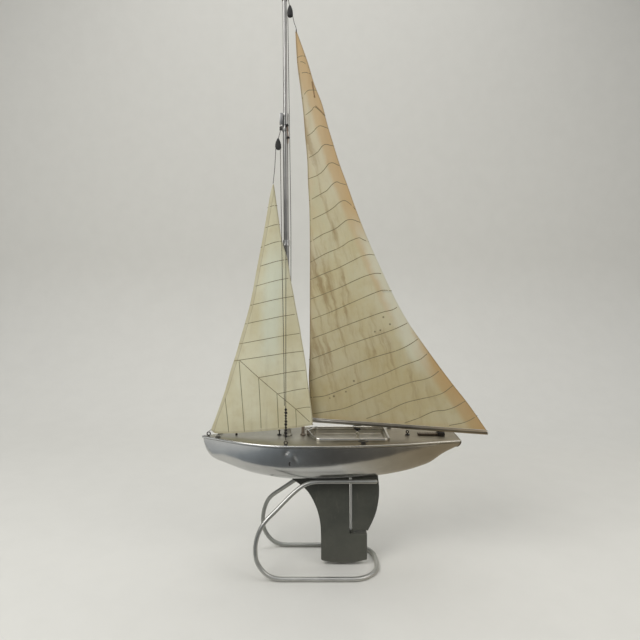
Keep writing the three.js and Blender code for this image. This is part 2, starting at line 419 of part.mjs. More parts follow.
// ---------------------------------------------------------------- deck fittings
add('bow_eye', ringAt(-216.5, 0, 251.7, 3.2, 0.85), dark);
add('jib_tack_lashing', sweep([[-215.4, 0, 256.9], [-213.9, -0.8, 258.3], [-211.6, -1.9, 259.4]], 0.5, 8), cord);
for (const [name, s] of [['port', -1], ['starboard', 1]]) {
  add(`bow_fairlead_${name}`, join(box(-201, -191, s * 12 - 1.5, s * 12 + 1.5, 248.0, 249.4), ringAt(-196, s * 12, 250.8, 2.0, 0.7)), dark);
  const y = s * 55.5;
  add(`horn_cleat_${name}`, join(box(75, 84, y - 2.2, y + 2.2, 248.5, 251.6), plate([[69.6, 253.6], [72.6, 252], [75.6, 251.2], [83.4, 251.2], [86.4, 252], [89.2, 253.6], [85.4, 253.9], [73.4, 253.9]], y - 1.6, y + 1.6)), dark);
}
add('deck_knob', turned([[0, 248.9], [2.4, 248.9], [2.4, 250.2], [1.4, 250.8], [2.2, 252], [1.4, 253.1], [0, 253.4]], 12).translate(-162.5, 0, 0), dark);
add('pin_fitting', turned([[0, 249.3], [4.2, 249.3], [4.2, 250.4], [1.3, 251], [1.3, 256], [2.0, 257], [1.6, 259.2], [0, 259.6]], 12).translate(-79, 0, 0), dark);
add('sheet_post', turned([[0, 241.4], [4.8, 241.4], [4.8, 242.6], [3.5, 243], [3.5, 256.6], [2.6, 257.6], [0, 257.6]], 14).translate(73, 0, 0), satin);
add('aft_eye', join(turned([[0, 249.3], [4.4, 249.3], [4.4, 250.5], [1.6, 251], [1.6, 253], [0, 253]], 12).translate(170, 0, 0), ringAt(170, 0, 255.1, 2.4, 0.75)), dark);
add('sheet_rack', cut(box(190, 242, -5, 5, 249.3, 252.9), ...Array.from({ length: 9 }, (_, i) => box(193.5 + i * 5, 195.5 + i * 5, -6, 6, 251.9, 260))), dark);
add('sheet_slider', cut(join(box(228, 241, -7.5, 7.5, 249.6, 256), box(231, 238, -4, 4, 255, 259.4)), box(220, 250, -5.4, 5.4, 240, 253.3)), dark);
add('deck_eye_starboard', join(box(136, 144, 42.6, 45.4, 249.2, 250.4), ringAt(140, 44, 251.6, 1.8, 0.6)), dark);

export default group;
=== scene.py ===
"""Looks of the sailing model yacht and its rod stand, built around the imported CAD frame."""
import json
import math
import bpy
import bmesh
import numpy as np
from mathutils import Vector, Matrix, noise

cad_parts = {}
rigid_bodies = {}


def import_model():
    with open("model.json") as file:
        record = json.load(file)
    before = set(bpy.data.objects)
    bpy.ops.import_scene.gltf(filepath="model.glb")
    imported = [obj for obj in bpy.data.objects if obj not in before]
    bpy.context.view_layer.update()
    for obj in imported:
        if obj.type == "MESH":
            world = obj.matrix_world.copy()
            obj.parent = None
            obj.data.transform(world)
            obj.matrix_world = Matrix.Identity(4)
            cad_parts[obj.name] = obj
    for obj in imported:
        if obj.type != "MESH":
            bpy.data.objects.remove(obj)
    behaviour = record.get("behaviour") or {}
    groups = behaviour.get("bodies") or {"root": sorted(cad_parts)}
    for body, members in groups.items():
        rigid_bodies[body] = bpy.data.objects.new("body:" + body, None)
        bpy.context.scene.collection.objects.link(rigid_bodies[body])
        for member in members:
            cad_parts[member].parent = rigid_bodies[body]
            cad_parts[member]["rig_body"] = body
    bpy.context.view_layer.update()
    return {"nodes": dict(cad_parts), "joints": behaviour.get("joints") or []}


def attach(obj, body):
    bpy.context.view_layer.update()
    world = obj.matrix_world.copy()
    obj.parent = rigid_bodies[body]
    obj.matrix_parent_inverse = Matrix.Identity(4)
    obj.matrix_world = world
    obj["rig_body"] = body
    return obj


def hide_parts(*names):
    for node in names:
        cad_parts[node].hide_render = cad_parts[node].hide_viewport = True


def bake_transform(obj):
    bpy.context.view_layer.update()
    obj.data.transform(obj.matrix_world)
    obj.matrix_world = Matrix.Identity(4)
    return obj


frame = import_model()
JOINT = {j["name"]: j for j in frame["joints"]}
SH = JOINT["rudder_turn"]["pos_m"][0] * 1000 - 60          # yacht station 0 in the frame, mm
scene = bpy.context.scene
scene.view_settings.view_transform = "Standard"
rad = math.radians


def P(p):
    return ((p[0] + SH) / 1000, p[1] / 1000, p[2] / 1000)


# ------------------------------------------------------------------ camera
cam_data = bpy.data.cameras.new("camera")
cam_data.sensor_width = 36
cam_data.lens = 28.125
cam_data.shift_y = -30 / 640
cam = bpy.data.objects.new("camera", cam_data)
cam.location = (SH / 1000, -0.973, 0.531)
cam.rotation_euler = (rad(90), 0, 0)
cam_data.clip_start, cam_data.clip_end = 0.02, 60
scene.collection.objects.link(cam)
scene.camera = cam


# ------------------------------------------------------------------ node materials
def lin(r, g, b):
    return tuple(((c / 255) / 12.92 if c / 255 <= 0.04045 else ((c / 255 + 0.055) / 1.055) ** 2.4) for c in (r, g, b)) + (1.0,)


class Mat:
    def __init__(self, name, rough=0.5, metal=0.0, **extra):
        self.m = bpy.data.materials.new(name)
        self.m.use_nodes = True
        self.t = self.m.node_tree
        self.b = self.t.nodes["Principled BSDF"]
        self.b.inputs["Roughness"].default_value = rough
        self.b.inputs["Metallic"].default_value = metal
        for k, v in extra.items():
            self.b.inputs[k.replace("_", " ")].default_value = v
        self.tc = self.t.nodes.new("ShaderNodeTexCoord")

    def n(self, kind, **kw):
        node = self.t.nodes.new(kind)
        for k, v in kw.items():
            setattr(node, k, v)
        return node

    def put(self, value, socket):
        if isinstance(value, bpy.types.NodeSocket):
            self.t.links.new(value, socket)
        else:
            socket.default_value = value

    def vec(self, scale=(1, 1, 1), rot=(0, 0, 0), loc=(0, 0, 0)):
        k = self.n("ShaderNodeMapping")
        k.inputs["Scale"].default_value = scale
        k.inputs["Rotation"].default_value = rot
        k.inputs["Location"].default_value = loc
        self.put(self.tc.outputs["Object"], k.inputs["Vector"])
        return k.outputs[0]

    def noise(self, scale, detail=4, rough=0.55, vec=None, dist=0.0):
        k = self.n("ShaderNodeTexNoise")
        k.inputs["Scale"].default_value = scale
        k.inputs["Detail"].default_value = detail
        k.inputs["Roughness"].default_value = rough
        k.inputs["Distortion"].default_value = dist
        self.put(vec if vec is not None else self.tc.outputs["Object"], k.inputs["Vector"])
        return k.outputs[0]

    def voronoi(self, scale, vec=None, feature="F1"):
        k = self.n("ShaderNodeTexVoronoi", feature=feature)
        k.inputs["Scale"].default_value = scale
        self.put(vec if vec is not None else self.tc.outputs["Object"], k.inputs["Vector"])
        return k.outputs["Distance"]

    def wave(self, scale, axis="X", dist=0.0, vec=None, detail=2):
        k = self.n("ShaderNodeTexWave", bands_direction=axis)
        k.inputs["Scale"].default_value = scale
        k.inputs["Distortion"].default_value = dist
        k.inputs["Detail"].default_value = detail
        self.put(vec if vec is not None else self.tc.outputs["Object"], k.inputs["Vector"])
        return k.outputs["Fac"]

    def ramp(self, fac, stops, smooth=False):
        k = self.n("ShaderNodeValToRGB")
        k.color_ramp.interpolation = "EASE" if smooth else "LINEAR"
        els = k.color_ramp.elements
        while len(els) < len(stops):
            els.new(0.5)
        for e, (pos, col) in zip(els, stops):
            e.position = pos
            e.color = col if hasattr(col, "__len__") else (col, col, col, 1)
        self.put(fac, k.inputs[0])
        return k.outputs[0]

    def math(self, op, a, b=0.0, clamp=False):
        k = self.n("ShaderNodeMath", operation=op, use_clamp=clamp)
        self.put(a, k.inputs[0])
        self.put(b, k.inputs[1])
        return k.outputs[0]

    def span(self, value, lo, hi, a=0.0, b=1.0):
        k = self.n("ShaderNodeMapRange", interpolation_type="SMOOTHSTEP")
        for s, v in zip(("Value", "From Min", "From Max", "To Min", "To Max"), (value, lo, hi, a, b)):
            self.put(v, k.inputs[s])
        return k.outputs[0]

    def mix(self, fac, a, b, blend="MIX"):
        k = self.n("ShaderNodeMix", data_type="RGBA", blend_type=blend)
        self.put(fac, k.inputs[0])
        self.put(a, k.inputs[6])
        self.put(b, k.inputs[7])
        return k.outputs[2]

    def attr(self, name):
        return self.n("ShaderNodeAttribute", attribute_name=name).outputs["Fac"]

    def bump(self, height, strength=0.2, dist=0.001, normal=None):
        k = self.n("ShaderNodeBump")
        k.inputs["Strength"].default_value = strength
        k.inputs["Distance"].default_value = dist
        self.put(height, k.inputs["Height"])
        if normal is not None:
            self.put(normal, k.inputs["Normal"])
        return k.outputs[0]

    def axes(self):
        k = self.n("ShaderNodeSeparateXYZ")
        self.put(self.tc.outputs["Object"], k.inputs[0])
        return k.outputs

    def spot(self, centre, lo, hi):
        """1 inside lo metres of a point, 0 outside hi."""
        k = self.n("ShaderNodeVectorMath", operation="DISTANCE")
        self.put(self.tc.outputs["Object"], k.inputs[0])
        k.inputs[1].default_value = centre
        return self.span(k.outputs["Value"], hi, lo)

    def out(self, colour=None, rough=None, normal=None):
        if colour is not None:
            self.put(colour, self.b.inputs["Base Color"])
        if rough is not None:
            self.put(rough, self.b.inputs["Roughness"])
        if normal is not None:
            self.put(normal, self.b.inputs["Normal"])
        return self.m


def metal(name, lo, hi, r0, r1, along=(1, 1, 1), wear=0.25, grain=0.12, speck=0.0, cloud=14, fore=None, aft=None, aft_end_highlight=None, behind_shadow=None):
    """Bare metal: cloudy tarnish, drawn grain along one axis, fine scratches and dull specks."""
    m = Mat(name, metal=1.0)
    clouds = m.noise(cloud, 6, 0.62)
    grains = m.noise(60, 4, 0.6, m.vec(along))
    fine = m.noise(900, 3, 0.6, m.vec(along))
    scr = m.noise(260, 2, 0.5, m.vec((0.12, 1.4, 1.4), rot=(0.2, 0.35, 0.5)))
    col = m.mix(m.span(clouds, 0.3, 0.75), lo, hi)
    col = m.mix(m.math("MULTIPLY", m.span(scr, 0.66, 0.74), wear), col, (0.95, 0.95, 0.94, 1))
    if speck:
        sp = m.span(m.noise(420, 3, 0.75), 0.60, 0.68)
        col = m.mix(m.math("MULTIPLY", sp, speck), col, (0.20, 0.18, 0.15, 1))
    # tint multiplied from fore to aft: partly the metal's tone, partly painted reflection and highlight
    if aft:
        px = m.axes()[0]
        col = m.mix(1.0, col, m.mix(m.span(px, -0.14, 0.06), fore + (1,), aft + (1,)), "MULTIPLY")
    # painted highlight: lighter towards the after end
    if aft_end_highlight:
        col = m.mix(m.span(m.axes()[0], 0.13, 0.24), col, m.mix(1.0, col, aft_end_highlight + (1,), "MULTIPLY"))
    # painted shadow: darker on the +y side
    if behind_shadow:
        col = m.mix(m.span(m.axes()[1], -0.02, 0.03), col, m.mix(1.0, col, behind_shadow + (1,), "MULTIPLY"))
    rough = m.span(m.math("ADD", m.math("MULTIPLY", clouds, 0.6), m.math("MULTIPLY", grains, 0.4)), 0.3, 0.7, r0, r1)
    nrm = m.bump(m.math("ADD", grains, m.math("MULTIPLY", fine, 0.35)), grain, 0.0004)
    nrm = m.bump(scr, 0.05, 0.0003, nrm)
    return m.out(col, rough, nrm)


HULL_METAL = None
m = Mat("hull_aluminium", metal=1.0)
clouds, mottle, fine = m.noise(9, 6, 0.6), m.noise(70, 5, 0.65), m.noise(700, 3, 0.6)
scr = m.noise(190, 2, 0.5, m.vec((0.10, 1.2, 1.6), rot=(0.1, 0.12, 0.2)))
col = m.mix(m.span(clouds, 0.3, 0.75), (0.46, 0.46, 0.45, 1), (0.58, 0.58, 0.565, 1))
col = m.mix(m.math("MULTIPLY", m.span(mottle, 0.58, 0.75), 0.22), col, (0.30, 0.295, 0.285, 1))
col = m.mix(m.math("MULTIPLY", m.span(scr, 0.67, 0.75), 0.30), col, (0.78, 0.78, 0.77, 1))
hx, hy, hz = m.axes()
# painted reflection: darker and warmer towards the stern, standing in for the shaded brownish floor reflected there
col = m.mix(m.span(hx, 0.0, 0.18), col, m.mix(1.0, col, (0.84, 0.76, 0.63, 1), "MULTIPLY"))
w_ = m.math("SUBTRACT", m.math("MULTIPLY", hz, 1000.0), 213.0)
u_ = m.math("SUBTRACT", m.math("SUBTRACT", m.math("MULTIPLY", hx, 1000.0), SH - 56.0), m.math("MULTIPLY", m.math("MULTIPLY", w_, w_), 0.07))
nick = m.math("MULTIPLY", m.math("MULTIPLY", m.span(m.math("ABSOLUTE", u_), 1.7, 1.2), m.span(m.math("ABSOLUTE", w_), 5.2, 4.2)), m.math("LESS_THAN", hy, 0.0))
col = m.mix(nick, col, (0.012, 0.011, 0.010, 1))
rough = m.span(m.math("ADD", m.math("MULTIPLY", clouds, 0.5), m.math("MULTIPLY", mottle, 0.5)), 0.3, 0.75, 0.13, 0.22)
rough = m.math("MAXIMUM", rough, m.math("MULTIPLY", nick, 0.7))
# painted highlight on the two dents: the per-vertex mark lifts the colour to near-white, roughens it and lowers the
# metallic, standing in for light caught in the dents
rough = m.math("MAXIMUM", rough, m.math("MULTIPLY", m.attr("dent_glint"), 0.62))
col = m.mix(m.math("MULTIPLY", m.attr("dent_glint"), 0.95, clamp=True), col, (0.97, 0.97, 0.96, 1))
nrm = m.bump(m.noise(26, 3, 0.5), 0.06, 0.0012)
nrm = m.bump(m.math("ADD", fine, scr), 0.05, 0.0003, nrm)
m.put(m.math("SUBTRACT", 1.0, m.math("ADD", nick, m.math("MULTIPLY", m.attr("dent_glint"), 0.6)), clamp=True), m.b.inputs["Metallic"])
HULL_METAL = m.out(col, rough, nrm)

# deck and rim go darker and warmer aft: partly the metal's tone, partly painted reflection of the tan mainsail
DECK_METAL = metal("deck_aluminium", (0.41, 0.395, 0.345, 1), (0.55, 0.54, 0.48, 1), 0.38, 0.50, (1, 6, 6), 0.2, 0.10, speck=0.35, cloud=22, fore=(1.0, 1.0, 0.98), aft=(0.72, 0.64, 0.53))
RIM_METAL = metal("rim_aluminium", (0.60, 0.60, 0.58, 1), (0.74, 0.74, 0.72, 1), 0.18, 0.30, (0.4, 3, 3), 0.3, 0.08, fore=(1.0, 1.0, 1.0), aft=(0.80, 0.76, 0.68))
# painted shadow: the bars on the +y side are darkened, standing in for the keel's shadow
ROD_METAL = metal("rod_aluminium", (0.46, 0.46, 0.435, 1), (0.56, 0.56, 0.53, 1), 0.36, 0.48, (1, 1, 1), 0.16, 0.10, speck=0.10, cloud=24, behind_shadow=(0.70, 0.71, 0.70))
STOCK_METAL = metal("stock_aluminium", (0.90, 0.90, 0.86, 1), (0.97, 0.97, 0.93, 1), 0.42, 0.52, (4, 4, 0.3), 0.1, 0.06, cloud=20)
STOCK_METAL.node_tree.nodes["Principled BSDF"].inputs["Metallic"].default_value = 0.15
MAST_METAL = metal("mast_aluminium", (0.25, 0.25, 0.24, 1), (0.36, 0.355, 0.345, 1), 0.34, 0.42, (6, 6, 0.3), 0.10, 0.05, speck=0.12, cloud=16)
# painted highlight: the boom's colour is lifted at the fore end and towards the after end
BOOM_METAL = metal("boom_aluminium", (0.17, 0.158, 0.135, 1), (0.27, 0.255, 0.22, 1), 0.28, 0.40, (0.3, 6, 6), 0.15, 0.08, speck=0.2, cloud=18, fore=(2.3, 2.35, 2.5), aft=(0.96, 0.93, 0.88), aft_end_highlight=(1.9, 1.75, 1.5))
# lighter and warmer than the deck metal: painted light lifting the recessed tray
TRAY_METAL = metal("tray_aluminium", (0.52, 0.49, 0.42, 1), (0.66, 0.63, 0.55, 1), 0.40, 0.52, (1, 6, 6), 0.2, 0.10, speck=0.3, cloud=26)
RACK_METAL = metal("rack_brass", (0.10, 0.078, 0.055, 1), (0.25, 0.20, 0.145, 1), 0.42, 0.62, (2, 2, 2), 0.12, 0.2, speck=0.5, cloud=80)
STEEL = metal("fastener_steel", (0.34, 0.34, 0.34, 1), (0.52, 0.52, 0.51, 1), 0.28, 0.45, (3, 3, 3), 0.2, 0.15, speck=0.3, cloud=60)
BRONZE = metal("tarnished_brass", (0.10, 0.07, 0.045, 1), (0.30, 0.21, 0.12, 1), 0.38, 0.62, (2, 2, 2), 0.15, 0.2, speck=0.5, cloud=90)
DULL = metal("dulled_metal", (0.30, 0.24, 0.19, 1), (0.46, 0.40, 0.34, 1), 0.34, 0.55, (2, 2, 2), 0.15, 0.2, speck=0.4, cloud=90)

m = Mat("blackened_metal", metal=0.3)
c1 = m.noise(140, 5, 0.65)
edge = m.n("ShaderNodeNewGeometry").outputs["Pointiness"]
col = m.ramp(c1, [(0.3, (0.018, 0.016, 0.015, 1)), (0.7, (0.055, 0.048, 0.042, 1))])
col = m.mix(m.span(edge, 0.58, 0.70, 0, 0.16), col, (0.16, 0.14, 0.12, 1))
DARK = m.out(col, m.span(c1, 0.3, 0.7, 0.35, 0.6), m.bump(m.noise(1200, 3), 0.2, 0.0003))

m = Mat("block_black", metal=0.1)
c1 = m.noise(220, 4, 0.6)
col = m.ramp(c1, [(0.3, (0.010, 0.010, 0.010, 1)), (0.75, (0.035, 0.033, 0.031, 1))])
BLACK = m.out(col, m.span(c1, 0.3, 0.7, 0.42, 0.6), m.bump(c1, 0.25, 0.0004))

m = Mat("keel_paint", rough=0.6)
c1, c2, c3 = m.noise(16, 6, 0.6), m.noise(190, 4, 0.7), m.noise(1500, 2)
x, y, z = m.axes()
col = m.mix(m.span(c1, 0.3, 0.72), lin(58, 60, 54), lin(74, 75, 67))
# painted shade: lighter towards the bottom, darker at the top under the hull
col = m.mix(m.span(z, 0.11, 0.0, 0.0, 0.5), col, lin(92, 92, 83))
col = m.mix(m.span(z, 0.135, 0.165, 0.0, 0.5), col, lin(44, 44, 39))
col = m.mix(m.math("MULTIPLY", m.span(c2, 0.62, 0.72), 0.35), col, lin(108, 106, 96))
col = m.mix(m.math("MULTIPLY", m.span(m.noise(55, 3, 0.6, m.vec((3.2, 1, 0.5))), 0.62, 0.74), 0.20), col, lin(112, 108, 96))
KEEL = m.out(col, m.span(c2, 0.3, 0.7, 0.48, 0.66), m.bump(m.math("ADD", c3, m.math("MULTIPLY", c2, 2.0)), 0.18, 0.0005))


def cord_mat(name, a, b, scale=700):
    k = Mat(name, rough=0.85)
    n1, n2 = k.noise(scale, 4, 0.7), k.noise(40, 3)
    c = k.mix(n1, a, b)
    c = k.mix(k.math("MULTIPLY", k.span(n2, 0.45, 0.7), 0.4), c, tuple(v * 1.6 for v in b[:3]) + (1,))
    return k.out(c, None, k.bump(n1, 0.5, 0.0003))


LINE = cord_mat("rigging_line", lin(34, 31, 29), lin(70, 63, 56))
BLACK_CORD = cord_mat("black_cord", lin(14, 13, 13), lin(40, 37, 35))
BROWN_CORD = cord_mat("brown_cord", lin(84, 60, 44), lin(140, 104, 78))
SEAM = cord_mat("seam_thread", lin(98, 92, 66), lin(132, 124, 92), 900)


def sail_material(name, pale, warm, dirty, band, streaks=0.0, spots=(), marks=(), glow=None):
    """Aged cotton: canvas weave, cloudy yellowing, a tan leech band, water streaks, foxing and brown stain marks."""
    k = Mat(name, rough=0.9)
    k.b.inputs["Sheen Weight"].default_value = 0.12
    big, mid, small = k.noise(7, 5, 0.6), k.noise(34, 5, 0.6), k.noise(160, 4, 0.7)
    x, y, z = k.axes()
    base = k.mix(k.span(big, 0.35, 0.66), pale, warm)
    base = k.mix(k.math("MULTIPLY", k.span(mid, 0.48, 0.75), 0.30), base, dirty)
    leech, luff, foot = k.attr("leech"), k.attr("luff"), k.attr("foot")      # mm to each edge
    wobble = k.math("MULTIPLY", k.math("SUBTRACT", mid, 0.5), 11.0)
    wob2 = k.math("MULTIPLY", k.math("SUBTRACT", big, 0.5), 16.0)
    edge = k.math("ADD", leech, k.math("ADD", wobble, wob2))
    if band:
        base = k.mix(k.span(z, 0.60, 0.84, 0, 0.55), base, lin(222, 215, 194))
        base = k.mix(k.math("MULTIPLY", k.span(edge, band * 1.22, band * 0.72), 0.62), base, tan)
        base = k.mix(k.math("MULTIPLY", k.span(edge, band * 0.8, 1.0), 0.30), base, amber)
        base = k.mix(k.span(k.math("ADD", luff, wobble), 14, 3, 0, 0.16), base, tan)
        base = k.mix(k.span(luff, 3.4, 1.6, 0, 0.42), base, brown)
        base = k.mix(k.span(k.math("ADD", foot, wobble), 12, 1, 0, 0.18), base, tan)
    else:
        base = k.mix(k.span(luff, 6.6, 5.8, 0, 0.10), base, brown)
        base = k.mix(k.span(k.math("ABSOLUTE", k.math("SUBTRACT", luff, 6.6)), 0.9, 0.2, 0, 0.34), base, brown)
        base = k.mix(k.span(foot, 4.4, 3.2, 0, 0.16), base, brown)
    base = k.mix(k.span(leech, 2.6, 1.2, 0, 0.30), base, brown)
    if streaks:
        lean = k.math("ADD", x, k.math("MULTIPLY", z, 0.25))
        flow = k.n("ShaderNodeCombineXYZ")
        k.put(k.math("MULTIPLY", k.math("ADD", lean, k.math("MULTIPLY", mid, 0.020)), 54.0), flow.inputs[0])
        k.put(k.math("MULTIPLY", z, 6.5), flow.inputs[2])
        runs = k.noise(1.0, 5, 0.62, flow.outputs[0])
        near = k.math("MULTIPLY", k.span(leech, band * 0.9, band * 2.2), k.span(z, 0.30, 0.40, 0.35, 1.0))
        base = k.mix(k.math("MULTIPLY", k.math("MULTIPLY", k.span(runs, 0.46, 0.70), near), streaks), base, lin(152, 124, 78))
        base = k.mix(k.math("MULTIPLY", k.math("MULTIPLY", k.span(runs, 0.47, 0.36), near), streaks * 0.5), base, lin(206, 204, 172))
    if band:
        base = k.mix(k.span(z, 0.62, 0.30, 0, 1.0), base, k.mix(1.0, base, (0.85, 0.81, 0.74, 1), "MULTIPLY"))
    soft = k.noise(1.0, 5, 0.65, k.vec((60, 1, 7)))
    base = k.mix(k.math("MULTIPLY", k.span(soft, 0.52, 0.74), 0.20), base, lin(158, 142, 104))
    total = k.math("MULTIPLY", k.span(small, 0.70, 0.78), 0.25)
    for sx, sy, sz, sr in spots:
        total = k.math("MAXIMUM", total, k.math("MULTIPLY", k.spot(P((sx, sy, sz)), sr / 1000 * 0.25, sr / 1000 * 0.9), 1.0))
    base = k.mix(k.math("MULTIPLY", total, 0.75), base, lin(88, 78, 50))
    for (ax, az), (bx, bz), wide, amount in marks:           # a stain drawn out between two points
        ux, uz = bx - ax, bz - az
        size = math.hypot(ux, uz)
        dx_ = k.math("SUBTRACT", x, (ax + SH) / 1000)
        dz_ = k.math("SUBTRACT", z, az / 1000)
        along = k.math("DIVIDE", k.math("ADD", k.math("MULTIPLY", dx_, ux / size), k.math("MULTIPLY", dz_, uz / size)), size / 1000, clamp=True)
        off = k.math("ABSOLUTE", k.math("SUBTRACT", k.math("MULTIPLY", dx_, uz / size), k.math("MULTIPLY", dz_, ux / size)))
        tip = k.math("ABSOLUTE", k.math("SUBTRACT", k.math("DIVIDE", k.math("ADD", k.math("MULTIPLY", dx_, ux / size), k.math("MULTIPLY", dz_, uz / size)), size / 1000), along))
        d = k.math("ADD", k.math("ADD", off, k.math("MULTIPLY", tip, size / 1000)), k.math("MULTIPLY", k.math("SUBTRACT", mid, 0.5), 0.004))
        base = k.mix(k.math("MULTIPLY", k.span(d, wide / 1000, wide / 4000), amount * 0.85), base, lin(116, 82, 44))
    if glow:                                                 # painted highlight: a paler, bluish band down the middle of the sail
        (ax, az), (bx, bz), wide = glow
        mid_x = k.math("ADD", k.math("MULTIPLY", k.math("SUBTRACT", z, az / 1000), (bx - ax) / (bz - az)), (ax + SH) / 1000)
        d = k.math("ADD", k.math("ABSOLUTE", k.math("SUBTRACT", x, mid_x)), k.math("MULTIPLY", k.math("SUBTRACT", mid, 0.5), 0.016))
        ends = k.math("MULTIPLY", k.span(z, bz / 1000 - 0.06, bz / 1000 + 0.05), k.span(z, az / 1000 + 0.06, az / 1000 - 0.04))
        base = k.mix(k.math("MULTIPLY", k.math("MULTIPLY", k.span(d, wide / 1000, wide / 5000), ends), 0.62), base, lin(223, 231, 217))
    warp, weft = k.wave(620, "X", 1.5), k.wave(620, "Z", 1.5)
    weave = k.math("ADD", warp, weft)
    base = k.mix(k.math("MULTIPLY", weave, 0.05), base, (0.12, 0.10, 0.07, 1))
    nrm = k.bump(k.noise(1.0, 5, 0.6, k.vec((55, 10, 9), rot=(0, 0.2, 0))), 0.55, 0.0026)
    nrm = k.bump(k.noise(120, 4, 0.6), 0.25, 0.0008, nrm)
    nrm = k.bump(weave, 0.18, 0.0002, nrm)
    k.out(base, None, nrm)
    tr = k.n("ShaderNodeBsdfTranslucent")
    k.put(k.mix(1.0, base, (1.0, 0.92, 0.74, 1), "MULTIPLY"), tr.inputs["Color"])
    mix = k.n("ShaderNodeMixShader")
    mix.inputs[0].default_value = 0.22
    k.put(k.b.outputs[0], mix.inputs[1])
    k.put(tr.outputs[0], mix.inputs[2])
    k.put(mix.outputs[0], k.t.nodes["Material Output"].inputs["Surface"])
    return k.m


# ------------------------------------------------------------------ mesh tools (mm, yacht stations)
class Geo:
    def __init__(self):
        self.v, self.f, self.tags = [], [], []

    def add(self, part, tag=0):
        v, f = part
        n = len(self.v)
        self.v += [tuple(float(c) for c in p) for p in v]
        self.f += [tuple(i + n for i in q) for q in f]
        self.tags += [tag] * len(f)
        return self


def finish_mesh(ob, sharp=38, smooth=True):
    bm = bmesh.new()
    bm.from_mesh(ob.data)
    bmesh.ops.remove_doubles(bm, verts=bm.verts, dist=2e-6)
    bmesh.ops.recalc_face_normals(bm, faces=bm.faces)
    bm.to_mesh(ob.data)
    bm.free()
    if smooth:
        ob.data.polygons.foreach_set("use_smooth", [True] * len(ob.data.polygons))
        ob.data.set_sharp_from_angle(angle=rad(sharp))
    return ob


def make(name, geo, mats, sharp=38):
    if isinstance(geo, tuple):
        geo = Geo().add(geo)
    me = bpy.data.meshes.new(name)
    me.from_pydata([P(p) for p in geo.v], [], geo.f)
    ob = bpy.data.objects.new(name, me)
    scene.collection.objects.link(ob)
    for k in (mats if isinstance(mats, (list, tuple)) else [mats]):
        me.materials.append(k)
    me.polygons.foreach_set("material_index", geo.tags)
    return finish_mesh(ob, sharp)


def done(ob, *nodes, body=None):
    first = nodes[0]
    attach(ob, body or frame["nodes"][first]["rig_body"])
    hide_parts(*nodes)
    return ob


def frames_of(path):
    p = np.array(path, float)
    t = np.empty_like(p)
    t[1:-1] = p[2:] - p[:-2]
    t[0], t[-1] = p[1] - p[0], p[-1] - p[-2]
    t /= np.linalg.norm(t, axis=1)[:, None]
    up = np.array([0, 0, 1.0]) if abs(t[0][2]) < 0.9 else np.array([1.0, 0, 0])
    n = np.empty_like(p)
    n[0] = up - t[0] * (up @ t[0])
    n[0] /= np.linalg.norm(n[0])
    for i in range(1, len(p)):
        v = n[i - 1] - t[i] * (n[i - 1] @ t[i])
        n[i] = v / np.linalg.norm(v)
    return p, t, n, np.cross(t, n)


def tube(path, r, sides=12, lobes=0, depth=0.0, pitch=5.0, round_ends=True):
    p, t, n, b = frames_of(path)
    length = np.concatenate([[0], np.cumsum(np.linalg.norm(np.diff(p, axis=0), axis=1))])
    r = np.full(len(p), float(r)) if np.isscalar(r) else np.array(r, float)
    a = np.arange(sides) / sides * 2 * math.pi
    rings = []

    def ring(i, push=0.0, k=1.0):
        rr = r[i] * k * (1 + (depth * np.cos(lobes * (a - 2 * math.pi * length[i] / pitch)) if lobes else 0))
        c = p[i] + t[i] * push
        return c + (rr * np.cos(a))[:, None] * n[i] + (rr * np.sin(a))[:, None] * b[i]
    if round_ends:
        rings += [ring(0, -r[0] * 0.92, 0.35), ring(0, -r[0] * 0.7, 0.7), ring(0, -r[0] * 0.35, 0.93)]
    rings += [ring(i) for i in range(len(p))]
    if round_ends:
        rings += [ring(-1, r[-1] * 0.35, 0.93), ring(-1, r[-1] * 0.7, 0.7), ring(-1, r[-1] * 0.92, 0.35)]
    v = np.concatenate(rings)
    f = []
    for i in range(len(rings) - 1):
        for k in range(sides):
            l = (k + 1) % sides
            f.append((i * sides + k, i * sides + l, (i + 1) * sides + l, (i + 1) * sides + k))
    f.append(tuple(range(sides)))
    f.append(tuple((len(rings) - 1) * sides + k for k in range(sides)))
    return v, f


def dense(path, step=1.2):
    out = []
    for a, b in zip(path, path[1:]):
        a, b = np.array(a, float), np.array(b, float)
        k = max(1, int(np.linalg.norm(b - a) / step))
        out += [a + (b - a) * i / k for i in range(k)]
    return out + [np.array(path[-1], float)]


def curve(points, step=2.0, alpha=0.5):
    """Centripetal Catmull-Rom through the points, evenly spaced."""
    p = [np.array(q, float) for q in points]
    p = [2 * p[0] - p[1]] + p + [2 * p[-1] - p[-2]]
    out = []
    for i in range(1, len(p) - 2):
        p0, p1, p2, p3 = p[i - 1:i + 3]
        t0 = 0
        t1 = t0 + np.linalg.norm(p1 - p0) ** alpha
        t2 = t1 + np.linalg.norm(p2 - p1) ** alpha
        t3 = t2 + np.linalg.norm(p3 - p2) ** alpha
        k = max(2, int(np.linalg.norm(p2 - p1) / step))
        for j in range(k):
            t = t1 + (t2 - t1) * j / k
            a1 = (t1 - t) / (t1 - t0) * p0 + (t - t0) / (t1 - t0) * p1
            a2 = (t2 - t) / (t2 - t1) * p1 + (t - t1) / (t2 - t1) * p2
            a3 = (t3 - t) / (t3 - t2) * p2 + (t - t2) / (t3 - t2) * p3
            b1 = (t2 - t) / (t2 - t0) * a1 + (t - t0) / (t2 - t0) * a2
            b2 = (t3 - t) / (t3 - t1) * a2 + (t - t1) / (t3 - t1) * a3
            out.append((t2 - t) / (t2 - t1) * b1 + (t - t1) / (t2 - t1) * b2)
    out.append(p[-2])
    return out


